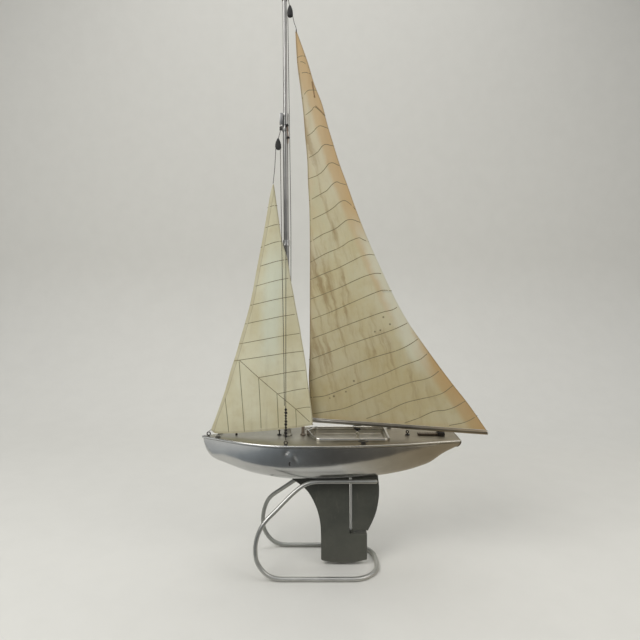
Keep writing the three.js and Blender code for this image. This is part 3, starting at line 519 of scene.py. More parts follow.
def lathe(profile, centre=(0, 0, 0), sides=32, axis="z", at=None):
    """Turned body: profile [r, z], starting and ending on the axis or closing on itself."""
    closed = profile[0] == profile[-1]
    prof = profile[:-1] if closed else profile
    v, idx = [], []
    for r, z in prof:
        if r < 1e-6:
            idx.append([len(v)] * sides)
            v.append((0, 0, z))
        else:
            idx.append([len(v) + k for k in range(sides)])
            v += [(r * math.cos(2 * math.pi * k / sides), r * math.sin(2 * math.pi * k / sides), z) for k in range(sides)]
    f = []
    n = len(idx)
    for i in range(n if closed else n - 1):
        a, b = idx[i], idx[(i + 1) % n]
        for k in range(sides):
            l = (k + 1) % sides
            q = [a[k], a[l], b[l], b[k]]
            q = [c for j, c in enumerate(q) if c not in q[:j]]
            if len(q) > 2:
                f.append(tuple(q))
    if axis == "y":
        v = [(x, z, -y) for x, y, z in v]
    elif axis == "x":
        v = [(z, x, y) for x, y, z in v]
    v = [(x + centre[0], y + centre[1], z + centre[2]) for x, y, z in v]
    return ([at(p) for p in v] if at else v), f


def rounded(profile, r=0.4, n=3):
    """Rounds the corners of a lathe profile."""
    closed = profile[0] == profile[-1]
    pts = [np.array(q, float) for q in (profile[:-1] if closed else profile)]
    out = []
    for i, q in enumerate(pts):
        if not closed and i in (0, len(pts) - 1):
            out.append(tuple(q))
            continue
        a, b = pts[i - 1], pts[(i + 1) % len(pts)]
        da, db = a - q, b - q
        la, lb = np.linalg.norm(da), np.linalg.norm(db)
        k = min(r, la * 0.45, lb * 0.45)
        s, e = q + da / la * k, q + db / lb * k
        for j in range(n + 1):
            t = j / n
            out.append(tuple((1 - t) ** 2 * s + 2 * t * (1 - t) * q + t * t * e))
    if closed:
        out.append(out[0])
    return out


def ring(x, y, z, R, r, turn=0.0, sides=14, seg=36, at=None):
    v, f = [], []
    for i in range(seg):
        a = 2 * math.pi * i / seg
        for k in range(sides):
            b = 2 * math.pi * k / sides
            q = (R + r * math.cos(b))
            px, pz, py = q * math.cos(a), q * math.sin(a), r * math.sin(b)
            w = (x + px * math.cos(turn) - py * math.sin(turn), y + px * math.sin(turn) + py * math.cos(turn), z + pz)
            v.append(at(w) if at else w)
    for i in range(seg):
        for k in range(sides):
            j, l = (i + 1) % seg, (k + 1) % sides
            f.append((i * sides + k, j * sides + k, j * sides + l, i * sides + l))
    return v, f


def slab(outline, y0, y1, bevel=0.6, seg=3, plane="xz", holes=()):
    """Rounded plate: an outline extruded, with its rim bevelled."""
    bm = bmesh.new()
    n = len(outline)
    lo = [bm.verts.new((a, y0, b)) for a, b in outline]
    hi = [bm.verts.new((a, y1, b)) for a, b in outline]
    bm.faces.new(lo)
    bm.faces.new(hi[::-1])
    for i in range(n):
        bm.faces.new((lo[i], hi[i], hi[(i + 1) % n], lo[(i + 1) % n]))
    bm.normal_update()
    if bevel > 0:
        rim = [e for e in bm.edges if abs(e.verts[0].co.y - e.verts[1].co.y) < 1e-9]
        bmesh.ops.bevel(bm, geom=rim, offset=bevel, segments=seg, profile=0.5, affect="EDGES", clamp_overlap=True)
    bmesh.ops.triangulate(bm, faces=[f for f in bm.faces if len(f.verts) > 4], ngon_method="BEAUTY")
    bm.verts.index_update()
    v = [tuple(w.co) for w in bm.verts]
    f = [tuple(w.index for w in q.verts) for q in bm.faces]
    bm.free()
    if plane == "xy":                                        # outline in plan, thickness upwards
        v = [(a, b, y) for a, y, b in v]
    return v, f


def block_of(x0, x1, y0, y1, z0, z1, bevel=0.4, seg=3):
    return slab([(x0, z0), (x1, z0), (x1, z1), (x0, z1)], y0, y1, bevel, seg)


def moved(part, fn):
    return [fn(p) for p in part[0]], part[1]


def boolean(ob, geo, op="DIFFERENCE"):
    tool = make("tool", geo, bpy.data.materials[0])
    mod = ob.modifiers.new("cut", "BOOLEAN")
    mod.operation, mod.object, mod.solver = op, tool, "EXACT"
    bpy.context.view_layer.update()
    me = bpy.data.meshes.new_from_object(ob.evaluated_get(bpy.context.evaluated_depsgraph_get()))
    ob.modifiers.clear()
    ob.data = me
    bpy.data.objects.remove(tool)
    return finish_mesh(ob)


def table(rows, x):
    if x <= rows[0][0]:
        return rows[0][1]
    for i in range(1, len(rows)):
        if x <= rows[i][0]:
            (x0, y0), (x1, y1) = rows[i - 1], rows[i]

            def slope(k):
                a, b = rows[max(0, k - 1)], rows[min(len(rows) - 1, k + 1)]
                return (b[1] - a[1]) / (b[0] - a[0])
            h = x1 - x0
            t = (x - x0) / h
            return (2 * t ** 3 - 3 * t * t + 1) * y0 + (t ** 3 - 2 * t * t + t) * h * slope(i - 1) + (3 * t * t - 2 * t ** 3) * y1 + (t ** 3 - t * t) * h * slope(i)
    return rows[-1][1]


def arc(cx, cz, r, a0, a1, n):
    return [(cx + r * math.cos(rad(a0 + (a1 - a0) * i / n)), cz + r * math.sin(rad(a0 + (a1 - a0) * i / n))) for i in range(n + 1)]


def lerp(a, b, t):
    return a + (b - a) * t


def clamp(x, a=0.0, b=1.0):
    return max(a, min(b, x))


# ------------------------------------------------------------------ stand
ROD, AXIS_Z, HALF_W, TOP_Y, TOP_Z = 4.0, 3.88, 62, 28, 168.9


def yof(z):
    t = clamp((z - 88) / (TOP_Z - 88))
    return lerp(HALF_W, TOP_Y, t * t * (3 - 2 * t))


bends = curve([(10, TOP_Z, 0), (-3, TOP_Z - 0.2, 0), (-14, TOP_Z - 1.3, 0), (-24.5, TOP_Z - 4.2, 0), (-35.5, TOP_Z - 9.6, 0), (-48, 150.6, 0), (-60.5, 140.6, 0),
               (-80.2, 124.0, 0), (-98.5, 108.4, 0), (-107, 97.8, 0), (-113.2, 84.5, 0), (-116.9, 70, 0), (-118, 56, 0), (-115.8, 38.5, 0), (-108.5, 24.2, 0),
               (-97, 12.2, 0), (-82, 5.6, 0), (-66, AXIS_Z, 0)], 2.5)
side = [(105, TOP_Z)] + [(x, TOP_Z) for x in range(95, 12, -8)] + [(q[0], max(AXIS_Z, q[1])) for q in bends] + [(x, AXIS_Z) for x in range(-58, 56, 8)]
half = [(x, -yof(z), z) for x, z in side]
half += [(59 + 50 * math.cos(rad(a)), -12 + 50 * math.sin(rad(a)), AXIS_Z) for a in range(-90, -11, 4)]
half += [(109, -9.4, AXIS_Z), (109.2, -3.0, AXIS_Z)]
path = half + [(x, -y, z) for x, y, z in half[::-1]]
v, f = tube(path, ROD, 28)
v = [(x, y, max(z, 0.0)) for x, y, z in v]                    # worn flat where the bars rest
done(make("stand_rod", (v, f), ROD_METAL, 60), "stand_frame")

# ------------------------------------------------------------------ hull
BREADTH = [(-229.5, 0.8), (-222, 4.8), (-214, 9), (-199, 16.8), (-173, 31.5), (-145, 45.5), (-115, 56.8), (-88, 63), (-62, 66),
           (-30, 67), (0, 67.2), (36, 66.5), (82, 63), (127, 58), (147, 55), (180, 49), (208, 43), (240, 36.5), (266, 32)]
KEEL_LINE = [(-226.5, 240), (-225.2, 234), (-223.2, 227), (-219.7, 219.5), (-212, 209.3), (-200.8, 202.4), (-186, 197.2), (-139, 181.8),
             (-100, 174.2), (-57, 169.3), (0, 167.8), (50, 169.2), (110, 174.5), (162, 183.2), (200, 194.5), (221, 204), (245, 218), (258, 226), (266, 231.5)]
SHEER, WALL = 243.2, 1.6


def breadth(x):
    return max(0.6, table(BREADTH, x))


def keel_line(x):
    return table(KEEL_LINE, x)


def smooth01(x, a, b):
    t = clamp((x - a) / (b - a))
    return t * t * (3 - 2 * t)


def deck_top(x, y):
    b = breadth(x)
    return 246.6 + 2.4 * min(1, b / 45) * (1 - min(1, abs(y) / b) ** 6)


def hull_section(x, inset, n, dent=False):
    b = max(0.35, breadth(x) - 1.2 - inset)
    zb = keel_line(x) + inset
    d = SHEER - zb
    out, marks = [], []
    for i in range(n + 1):
        a = math.pi * i / n
        c, s = math.cos(a), math.sin(a)
        y = -b * math.copysign(abs(c) ** 0.94, c)
        z = SHEER - d * s ** 0.94
        k = glint = 0.0
        if dent:
            rise = 0.16 * noise.noise(Vector((x * 0.018, y * 0.03, z * 0.035))) + 0.06 * noise.noise(Vector((x * 0.06 + 7, y * 0.05, z * 0.08)))
            scale = 1 + (rise * min(1.0, b / 30) * (0.4 + 0.6 * s)) / max(b, 8)
            y *= scale
            if y < 0:
                y += 1.5 * math.exp(-((x + 59) / 6.5) ** 2 - ((z - 233.0) / 5.2) ** 2)
                y += 1.3 * math.exp(-((x + 43) / 6.5) ** 2 - ((z - 222) / 6.0) ** 2)
                g = math.exp(-((x + 55.2 + (z - 213) ** 2 * 0.05 - (z - 213) * 0.16) / 2.5) ** 2 - ((z - 213) / 5.2) ** 4)
                y += 0.1 * g
                k = clamp(g * 4.0 - 0.7)
                # painted highlight on the two dents, kept per vertex for the hull material
                p, q = (x + 59.5) * 0.78 + (z - 233.5) * 0.62, -(x + 59.5) * 0.62 + (z - 233.5) * 0.78
                glint = math.exp(-(p / 4.6) ** 2 - (q / 1.9) ** 2)
                p, q = (x + 44) * 0.45 - (z - 224) * 0.89, (x + 44) * 0.89 + (z - 224) * 0.45
                glint += 0.42 * math.exp(-(p / 6.0) ** 2 - (q / 2.2) ** 2)
        out.append((x + 0.45 * smooth01(x, 205, 264) * (z - SHEER), y, z))
        marks.append((k, glint))
    return out, marks


N = 72
xs = sorted(set([round(float(q), 2) for q in np.concatenate([np.linspace(-226.3, -205, 22), np.linspace(-205, 264, 170), np.linspace(-72, -40, 44)])]))
V, F, MARK = [], [], []
for x in xs:
    o, k = hull_section(x, 0, N, True)
    b = breadth(x) - 1.2
    wall = min(WALL, max(0.12, 0.45 * b))
    i, _ = hull_section(x, wall, N)
    V += o + i[::-1]
    MARK += k + [(0.0, 0.0)] * len(i)
L = 2 * (N + 1)
for r in range(len(xs) - 1):
    for k in range(L):
        l = (k + 1) % L
        F.append((r * L + k, (r + 1) * L + k, (r + 1) * L + l, r * L + l))
for r in (0, len(xs) - 1):
    for k in range(N):
        F.append((r * L + k, r * L + k + 1, r * L + L - 2 - k, r * L + L - 1 - k))
hull = make("hull_shell_pressed", (V, F), HULL_METAL, 42)
from mathutils.kdtree import KDTree
near = KDTree(len(V))
for i, q in enumerate(V):
    near.insert(P(q), i)
near.balance()
# per-vertex marks for the hull material: the nick, and the painted highlight on the dents
for n_, key in enumerate(("nick", "dent_glint")):
    at = hull.data.attributes.new(key, "FLOAT", "POINT")
    at.data.foreach_set("value", [MARK[near.find(w.co)[1]][n_] for w in hull.data.vertices])
done(hull, "hull_shell")

# deck plate with its rolled rim
WELL = dict(fore=-11, aft=129.5, half=41, apex=-24, corner=11)


def plan(inset, n=12):
    w = WELL
    h, f_, a = w["half"] - inset, w["fore"] + inset * 0.3, w["aft"] - inset
    p, c = w["apex"] + inset * 1.15, max(2, w["corner"] - inset)
    out = []

    def corner(x, y, a0, a1):
        for i in range(n + 1):
            t = rad(a0 + (a1 - a0) * i / n)
            out.append((x + c * math.cos(t), y + c * math.sin(t)))
    corner(a - c, -h + c, -90, 0)
    corner(a - c, h - c, 0, 90)
    corner(f_ + c, h - c, 90, 162)
    q0, q1 = out[-1], (p + 2.2, 6)
    for i in range(1, 10):
        out.append((lerp(q0[0], q1[0], i / 10), lerp(q0[1], q1[1], i / 10)))
    for i in range(9):                                       # rounded apex
        t = i / 8
        out.append(((1 - t) ** 2 * (p + 2.2) + 2 * t * (1 - t) * (p - 1.4) + t * t * (p + 2.2), 6 * (1 - 2 * t)))
    q0, q1 = (p + 2.2, -6), (f_ + c + c * math.cos(rad(198)), -h + c + c * math.sin(rad(198)))
    for i in range(1, 10):
        out.append((lerp(q0[0], q1[0], i / 10), lerp(q0[1], q1[1], i / 10)))
    corner(f_ + c, -h + c, 198, 270)
    return out


V, F, T = [], [], []
dx = [-229.5, -229, -228, -226.6] + [q for q in xs if -226.4 < q < 264] + [264.3]
dx = [q for i, q in enumerate(dx) if i == 0 or q - dx[i - 1] > 1.2]
sec = None
for x in dx:
    b = breadth(x)
    k = min(1, b / 6)
    topp, bot = [], []
    for i in range(11):                                      # the bead, from outside over to the deck
        a = rad(-8 + 146 * i / 10)
        topp.append((b - (1.75 - 1.75 * math.cos(a)) * k, 246.15 + 1.75 * math.sin(a), 1))
    e = b - 3.4 * k
    topp.append((b - 3.15 * k, deck_top(x, e) + 0.28, 1))
    for fr in (1.0, 0.93, 0.85, 0.72, 0.58, 0.44, 0.3, 0.15):
        yy = e * fr
        wav = 0.10 * noise.noise(Vector((x * 0.02, yy * 0.03, 3.1))) * min(1, b / 30)
        topp.append((yy, deck_top(x, yy) + wav, 0))
    for i in range(7):
        a = rad(-30 - 120 * i / 6)
        bot.append((b - (1.75 - 1.75 * math.cos(a)) * k, 246.15 + 2.45 * math.sin(a), 1))
    for fr in (1.0, 0.7, 0.35):
        bot.append((e * fr, deck_top(x, e * fr) - 1.3, 0))
    loop = topp + [(0, deck_top(x, 0), 0)] + [(-y, z, t) for y, z, t in topp[::-1]] + [(-y, z, t) for y, z, t in bot] + [(0, deck_top(x, 0) - 1.3, 0)] + bot[::-1]
    sec = loop
    V += [(x, y, z) for y, z, t in loop]
L = len(sec)
for r in range(len(dx) - 1):
    for k in range(L):
        l = (k + 1) % L
        F.append((r * L + k, (r + 1) * L + k, (r + 1) * L + l, r * L + l))
        T.append(1 if sec[k][2] and sec[l][2] else 0)
for r in (0, len(dx) - 1):
    F.append(tuple(r * L + k for k in range(L)))
    T.append(1)
g = Geo()
g.v, g.f, g.tags = V, F, T
deck = make("deck_plate_rolled", g, [DECK_METAL, RIM_METAL], 50)
boolean(deck, slab(plan(2.2), 230, 262, 0, plane="xy"))
done(deck, "deck_plate")

# coaming bead round the well
RISE, CB = 6, 249.3


def lift(x, z):
    return z + RISE * clamp((WELL["fore"] + 6 - x) / (WELL["fore"] + 6 - WELL["apex"])) ** 1.3 if z > 0.5 else z


prof = [(-2.1, 0), (2.1, 0), (2.25, 1.2), (2.15, 2.6)] + [(2.1 * math.cos(rad(a)), 3.2 + 2.2 * math.sin(rad(a))) for a in range(12, 180, 14)] + [(-2.15, 2.6), (-2.25, 1.2)]
rings_ = [plan(-u) for u, z in prof]
V, F = [], []
n = len(rings_[0])
for i in range(n):
    for j, (u, z) in enumerate(prof):
        x, y = rings_[j][i]
        V.append((x, y, CB + lift(x, z)))
L = len(prof)
for i in range(n):
    for j in range(L):
        k, l = (i + 1) % n, (j + 1) % L
        F.append((i * L + j, k * L + j, k * L + l, i * L + l))
done(make("coaming_bead", (V, F), RIM_METAL, 50), "coaming")

# pressed tray of the well
levels = [(2.5, 248.4), (2.5, 241.4), (3.0, 240.3), (4.5, 239.8), (9, 239.8)]
inner = [(3.7, 248.4), (3.7, 243.2), (4.2, 241.8), (5.2, 241.15), (9.5, 241.0), (16, 241.0)]
loops = [plan(i) for i, z in levels[::-1]] + [plan(i) for i, z in inner]
zs = [z for i, z in levels[::-1]] + [z for i, z in inner]
V, F = [], []
for lp, z in zip(loops, zs):
    V += [(x, y, z) for x, y in lp]
for r in range(len(loops) - 1):
    for k in range(n):
        l = (k + 1) % n
        F.append((r * n + k, r * n + l, (r + 1) * n + l, (r + 1) * n + k))
F.append(tuple(range(n)))
F.append(tuple((len(loops) - 1) * n + k for k in range(n)))
done(make("cockpit_tray_pressed", (V, F), TRAY_METAL, 40), "cockpit_tray")

# transom
o, _ = hull_section(264, -0.6, 48)
base = o + [(264, 32.2, 247.2), (264, 24, 247.7), (264, 16, 248.4), (264, 0, 248.6), (264, -16, 248.4), (264, -24, 247.7), (264, -32.2, 247.2)]
cy, cz = 0, 235
V, F = [], []
for dxx, k in ((0.9, 0.985), (0.9, 1.0), (2.0, 1.0), (2.35, 0.985), (2.45, 0.95)):
    V += [(x + dxx, y * k, cz + (z - cz) * k) for x, y, z in base]
L = len(base)
for r in range(4):
    for k in range(L):
        l = (k + 1) % L
        F.append((r * L + k, r * L + l, (r + 1) * L + l, (r + 1) * L + k))
F.append(tuple(range(L)))
F.append(tuple(4 * L + k for k in range(L)))
done(make("transom_plate_flat", (V, F), HULL_METAL, 35), "transom_plate")

# ------------------------------------------------------------------ keel and rudder
BOLTS = [-10, 38]
top = [(x, keel_line(x) - 0.4) for x in range(57, -56, -5)] + [(-56, keel_line(-56) - 0.4)]
fore = [(q[0], q[1]) for q in curve([(-56, top[-1][1], 0), (-50, 163.4, 0), (-38, 154.8, 0), (-26.5, 145, 0), (-18.5, 134, 0), (-12.6, 123, 0), (-5.8, 107, 0), (-1.7, 92, 0), (0.6, 79, 0), (1.5, 66, 0), (1.9, 38, 0), (2, 11.6, 0)], 4)][1:]
heel = [(q[0], q[1]) for q in curve([(3.4, 9.2, 0), (12, 7.0, 0), (28, 4.8, 0), (46, 4.0, 0), (68, 5.6, 0), (90, 10.2, 0)], 5)]
outline = heel + [(91, 11.5), (91, 59.0), (90, 60), (63.9, 60), (63.9, 60), (57.4, 60)] + top + fore
outline = [q for i, q in enumerate(outline) if i == 0 or math.dist(q, outline[i - 1]) > 0.5]
v, f = slab(outline, -8, 8, 3.2, 5)
keel = make("keel_fin_cast", (v, f), KEEL, 28)
boolean(keel, Geo().add(lathe([(0, 50), (2.15, 50), (2.15, 72), (0, 72)], (60, 0, 0), 24)).add(lathe([(0, 57.9), (3.8, 57.9), (3.8, 66), (0, 66)], (60, 0, 0), 28)))
done(keel, "keel_fin")
for i, x in enumerate(BOLTS):
    w = ("fore", "aft")[i]
    fl = keel_line(x) + WALL
    thread = [(0, 141)] + [(1.95 - 0.22 * (j % 2), 141.2 + j * 0.5) for j in range(int((fl + 7.6 - 141.2) / 0.5))] + [(1.4, fl + 8), (0, fl + 8)]
    done(make(f"keel_bolt_threaded_{w}", lathe(thread, (x, 0, 0), 20), STEEL), f"keel_bolt_{w}")
    hexa = [(4.1 * math.cos(rad(a)), 4.1 * math.sin(rad(a))) for a in range(0, 360, 60)]
    g = slab(hexa, fl + 0.8, fl + 4.4, 0.35, 2, plane="xy")
    nut = make(f"keel_nut_hex_{w}", moved(g, lambda q, x=x: (q[0] + x, q[1], q[2])), STEEL, 25)
    boolean(nut, lathe([(0, fl - 2), (2.75, fl - 2), (2.75, fl + 8), (0, fl + 8)], (x, 0, 0), 24))
    done(nut, f"keel_nut_{w}")

done(make("rudder_trunk_tube", lathe(rounded([(2.15, 170.4), (3.5, 170.4), (3.5, 231), (2.15, 231), (2.15, 170.4)], 0.3), (60, 0, 0)), STEEL), "rudder_trunk")
done(make("rudder_stock_rod", lathe(rounded([(0, 51), (1.75, 51), (1.75, 237), (0, 237)], 0.6), (60, 0, 0), 28), STOCK_METAL), "rudder_stock")
trail = [(q[0], q[1]) for q in curve([(93.0, 64.2, 0), (98.8, 75, 0), (105.2, 89, 0), (110.4, 105, 0), (113.5, 121, 0), (115, 136, 0), (114.8, 150.6, 0), (112.4, 170.6, 0)], 4)]
v, f = slab([(62.2, 64.2)] + trail + [(101, 169.7), (90, 168.8), (76, 167.7), (62.2, 166.6)], -4.5, 4.5, 1.6, 4)
v = [(x, y * lerp(1, 0.42, clamp((x - 76) / 40)), z) for x, y, z in v]
done(make("rudder_blade_cast", (v, f), KEEL, 30), "rudder_blade")
g = Geo().add(lathe(rounded([(2.1, 231.4), (5, 231.4), (5, 236), (2.1, 236), (2.1, 231.4)], 0.5), (60, 0, 0)))
g.add(lathe(rounded([(0, 0), (0.9, 0), (0.9, 1.0), (0, 1.0)], 0.2), (60, -5.0, 233.7), 14, "y"))
done(make("rudder_collar_ring", g, BRONZE), "rudder_collar")
done(make("rudder_heel_bush_ring", lathe(rounded([(2.1, 58.3), (3.4, 58.3), (3.4, 65.2), (2.1, 65.2), (2.1, 58.3)], 0.4), (60, 0, 0)), KEEL), "rudder_heel_bush")

# ------------------------------------------------------------------ mast
TH = math.atan(6 / 853)
CS, SN = math.cos(TH), math.sin(TH)


def M(p):
    return (-63 + p[0] * CS - p[2] * SN, p[1], 249 + p[0] * SN + p[2] * CS)


done(make("mast_step_cup", lathe(rounded([(5.3, 0.4), (9, 0.4), (9, 2.2), (7.2, 3.4), (6.8, 12), (5.3, 12), (5.3, 0.4)], 0.5), at=M), DECK_METAL), "mast_step")


def tall(r_out, r_in, z0, z1, bead=0.3):
    k = [(r_in, z0), (r_out - bead, z0), (r_out, z0 + bead)]
    k += [(r_out * (1 + 0.006 * math.sin(z * 0.11) * math.sin(z * 0.013)), z) for z in np.arange(z0 + 12, z1 - 12, 12)]
    return k + [(r_out, z1 - bead), (r_out - bead, z1), (r_in, z1), (r_in, z0)]


done(make("mast_lower_tube", lathe(tall(5, 4.2, 1.2, 611), sides=36, at=M), MAST_METAL), "mast_lower")
done(make("mast_upper_tube", lathe(tall(3.9, 3.1, 560, 859), sides=32, at=M), MAST_METAL), "mast_upper")
done(make("mast_sleeve_tube", lathe(rounded([(5.3, 590), (6.3, 590), (6.3, 596), (6.05, 597), (6.05, 618), (6.3, 619), (6.3, 625), (5.3, 625), (5.3, 590)], 0.4), sides=36, at=M), MAST_METAL), "mast_sleeve")
g = Geo()
g.add(lathe([(0, 859.3), (4.2, 859.3), (4.2, 845), (5.0, 845), (5.3, 845.3), (5.3, 859.6), (5.0, 860.6), (4.2, 861), (0, 861)], sides=32, at=M))
g.add(ring(7.3, 0, 855.4, 2.6, 0.85, 0, at=M))
done(make("masthead_cap_eyed", g, MAST_METAL), "masthead_cap")
g = Geo().add(lathe(rounded([(5.3, 367), (6.6, 367), (6.6, 370), (6.3, 371), (6.3, 375), (6.6, 376), (6.6, 379), (5.3, 379), (5.3, 367)], 0.35), at=M))
for s in (-1, 1):
    g.add(ring(0, s * 9.2, 373, 1.75, 0.75, math.pi / 2, at=M))
done(make("shroud_collar_eyed", g, STEEL), "shroud_collar")
g = Geo().add(moved(slab([(-11.5, 592.5), (-6.6, 592.5), (-6.6, 601), (-9, 601), (-11.5, 599)], -1, 1, 0.4), M))
g.add(ring(-9.3, 0, 595.2, 1.6, 0.6, 0, at=M))
done(make("hound_bracket_plate", g, DARK), "hound_bracket")

# dark strap up the fore side of the sleeve, and the knots on its after side
g = Geo().add(moved(slab([(-10.8, 601.4), (-4.4, 601.4), (-4.4, 623.4), (-5.0, 624), (-10.0, 624), (-10.8, 623.2)], -8.7, -6.9, 0.5, 3), M))
g.add(moved(slab([(-10.8, 603), (-9.0, 603), (-9.0, 622), (-10.8, 622)], -7.1, 3.0, 0.3, 2), M))
strap = make("hound_strap", g, STEEL)
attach(strap, "yacht")


def knot(c, r, seed=0, stretch=1.0, at_=None):
    """An overhand knot: a cord wound tight on itself."""
    pts = []
    for t in np.linspace(0, 2 * math.pi, 46):
        q = (math.sin(t) + 2 * math.sin(2 * t), math.cos(t) - 2 * math.cos(2 * t), -math.sin(3 * t))
        w = (c[0] + q[0] * r * 0.3, c[1] + q[1] * r * 0.3, c[2] + q[2] * r * 0.55 * stretch)
        pts.append(at_(w) if at_ else w)
    return tube(pts, r * 0.40, 9)


kn = make("mast_line_knots", Geo().add(knot((3.6, -7.6, 600), 2.7, at_=M)).add(knot((5.6, -5.4, 577), 2.0, 1, 1.5, at_=M)), BLACK_CORD)
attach(kn, "yacht")
kn = make("mast_line_tail", moved(tube(curve([(3.6, -7.6, 599), (4.2, -7.2, 590), (5.4, -5.8, 583), (5.6, -5.4, 577), (5.2, -5.0, 566)], 1), 0.7, 8, 3, 0.16, 3), M), BROWN_CORD)
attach(kn, "yacht")

# ------------------------------------------------------------------ halyard blocks
MAIN_BLOCK, JIB_BLOCK = (-58.4, 0, 1072.5), (-81.3, 0, 814.2)


def halyard_block(tag, c):
    tear = arc(0, -4.2, 6, 195, 345, 16) + [(5.7, -2.2), (5.3, 1.0), (4.4, 4.2), (3.2, 7.0), (2.1, 9.6), (1.1, 11.0), (0, 11.4), (-1.1, 11.0), (-2.1, 9.6), (-3.2, 7.0), (-4.4, 4.2), (-5.3, 1.0), (-5.7, -2.2)]
    crown = [(4.7, 3.2), (4.4, 4.2), (3.2, 7.0), (2.1, 9.6), (1.1, 10.9), (-1.1, 10.9), (-2.1, 9.6), (-3.2, 7.0), (-4.4, 4.2), (-4.7, 3.2)]
    to = lambda q: (q[0] + c[0], q[1] + c[1], q[2] + c[2])
    g = Geo().add(moved(slab(tear, -4.2, -1.8, 1.1, 4), to)).add(moved(slab(tear, 1.8, 4.2, 1.1, 4), to))
    g.add(moved(slab(crown, -2.6, 2.6, 0.5, 2), to))
    g.add(lathe(rounded([(0, -4.4), (1.3, -4.4), (1.3, -3.9), (0.9, -3.8), (0.9, 3.8), (1.3, 3.9), (1.3, 4.4), (0, 4.4)], 0.15), (c[0], c[1], c[2] - 4.2), 20, "y"))
    done(make(f"{tag}_block_cheeks", g, BLACK, 40), f"{tag}_block_shell")
    g = lathe(rounded([(1.25, -1.4), (3.9, -1.4), (3.85, -1.0), (3.35, -0.4), (3.3, 0), (3.35, 0.4), (3.85, 1.0), (3.9, 1.4), (1.25, 1.4), (1.25, -1.4)], 0.15), (c[0], c[1], c[2] - 4.2), 32, "y")
    done(make(f"{tag}_block_wheel", g, BRONZE, 40), f"{tag}_block_sheave")


halyard_block("main", MAIN_BLOCK)
halyard_block("jib", JIB_BLOCK)


def rope(name, path, node, mat=None, r=0.55, pitch=3.6, step=0.75, sides=12, depth=0.16):
    ob = make(name, tube(dense(path, step), r, sides, 3, depth, pitch), mat or LINE, 80)
    return done(ob, node) if node else ob


rope("main_block_becket", curve([(-61.5, 0, 1100.4), (-61.3, 0, 1095), (-60.2, 0, 1089), (-58.7, 0, 1084.6)], 1), "main_block_strop")
rope("jib_block_becket", curve([(-77.0, 0, 840.6), (-78.8, 0, 834), (-80.9, 0, 826.2)], 1), "jib_block_strop")


def over(c, r, a0, a1):
    return [(x, 0, z) for x, z in arc(c[0], c[2] - 4.2, r, a0, a1, 16)]


rope("main_halyard_line", [(-46.2, 0.9, 1040), (-50.5, 0.5, 1052)] + over(MAIN_BLOCK, 4.5, 0, 180) + [(-62.4, 0.6, 1048), (-57.5, 6.6, 700), (-57, 8, 640), (-58.5, 31.0, 470), (-60.4, 52.2, 318)], "main_halyard")
rope("jib_halyard_line", [(-91.2, 0, 738.6), (-88, 0, 768)] + over(JIB_BLOCK, 4.5, 180, 0) + [(-77.2, -0.6, 800), (-72.4, -22, 600), (-67.8, -40.5, 430), (-65.6, -52.4, 318)], "jib_halyard")

for name, s in (("port", -1), ("starboard", 1)):
    t, low = np.array((-65.7, s * 9.9, 619.8)), np.array((-62.5, s * 60, 252))
    pos = lambda z, t=t, low=low: t + (low - t) * (t[2] - z) / (t[2] - low[2])
    rope(f"shroud_{name}_line", [pos(619.8), pos(313.5)], f"shroud_{name}")
    # chain of knots: two strands twisted, drawn into a knot every few millimetres
    g = Geo()
    zs = np.linspace(312.9, 257.4, 150)
    for ph in (0, math.pi):
        pts = []
        for z in zs:
            c = pos(z)
            a = ph + (312.9 - z) * 1.05
            w = 0.55 + 0.30 * math.sin((312.9 - z) * 0.9)
            pts.append((c[0] + w * math.cos(a), c[1] + w * math.sin(a), c[2]))
        g.add(tube(pts, 0.62, 8))
    for i, z in enumerate(np.arange(310.2, 259, -5.2)):
        c = pos(z)
        g.add(knot((c[0] + 0.15 * math.sin(i * 2.1), c[1] + 0.15 * math.cos(i * 1.3), c[2]), 2.05 + 0.35 * math.sin(i * 1.7), i, 1.05))
    done(make(f"lanyard_{name}_knotted", g, BLACK_CORD, 70), f"lanyard_{name}")
    g = Geo().add(ring(-62.5, s * 60, 252, 3, 0.9)).add(lathe(rounded([(0, 247.9), (3.4, 247.9), (3.4, 248.5), (1.4, 248.9), (1.2, 249.6), (0, 249.6)], 0.25), (-62.5, s * 60, 0), 24))
    done(make(f"chainplate_eye_{name}_forged", g, DARK), f"chainplate_eye_{name}")

# ------------------------------------------------------------------ boom and gooseneck
PIV, END = np.array((-33.0, 0, 279)), np.array((310.0, -47, 267))
g = Geo().add(lathe(rounded([(0, 249.4), (5.4, 249.4), (5.4, 250.8), (3.4, 252.2), (3.0, 254), (3.0, 266), (2.2, 267), (2.2, 273.6), (0, 273.6)], 0.4), (PIV[0], 0, 0), 28))
for a in range(0, 360, 120):
    g.add(lathe(rounded([(0, 250.6), (0.9, 250.6), (0.9, 251.4), (0.5, 251.6), (0, 251.6)], 0.15), (PIV[0] + 4.3 * math.cos(rad(a)), 4.3 * math.sin(rad(a)), 0), 12))
done(make("gooseneck_post_turned", g, DULL), "gooseneck_post")
dirb = (END - PIV) / np.linalg.norm(END - PIV)
LB = float(np.linalg.norm(END - PIV))
nb = np.cross(dirb, (0, 0, 1.0))
nb /= np.linalg.norm(nb)
ub = np.cross(nb, dirb)


def B(q):
    w = PIV + dirb * q[2] + nb * q[0] + ub * q[1]
    return tuple(w)


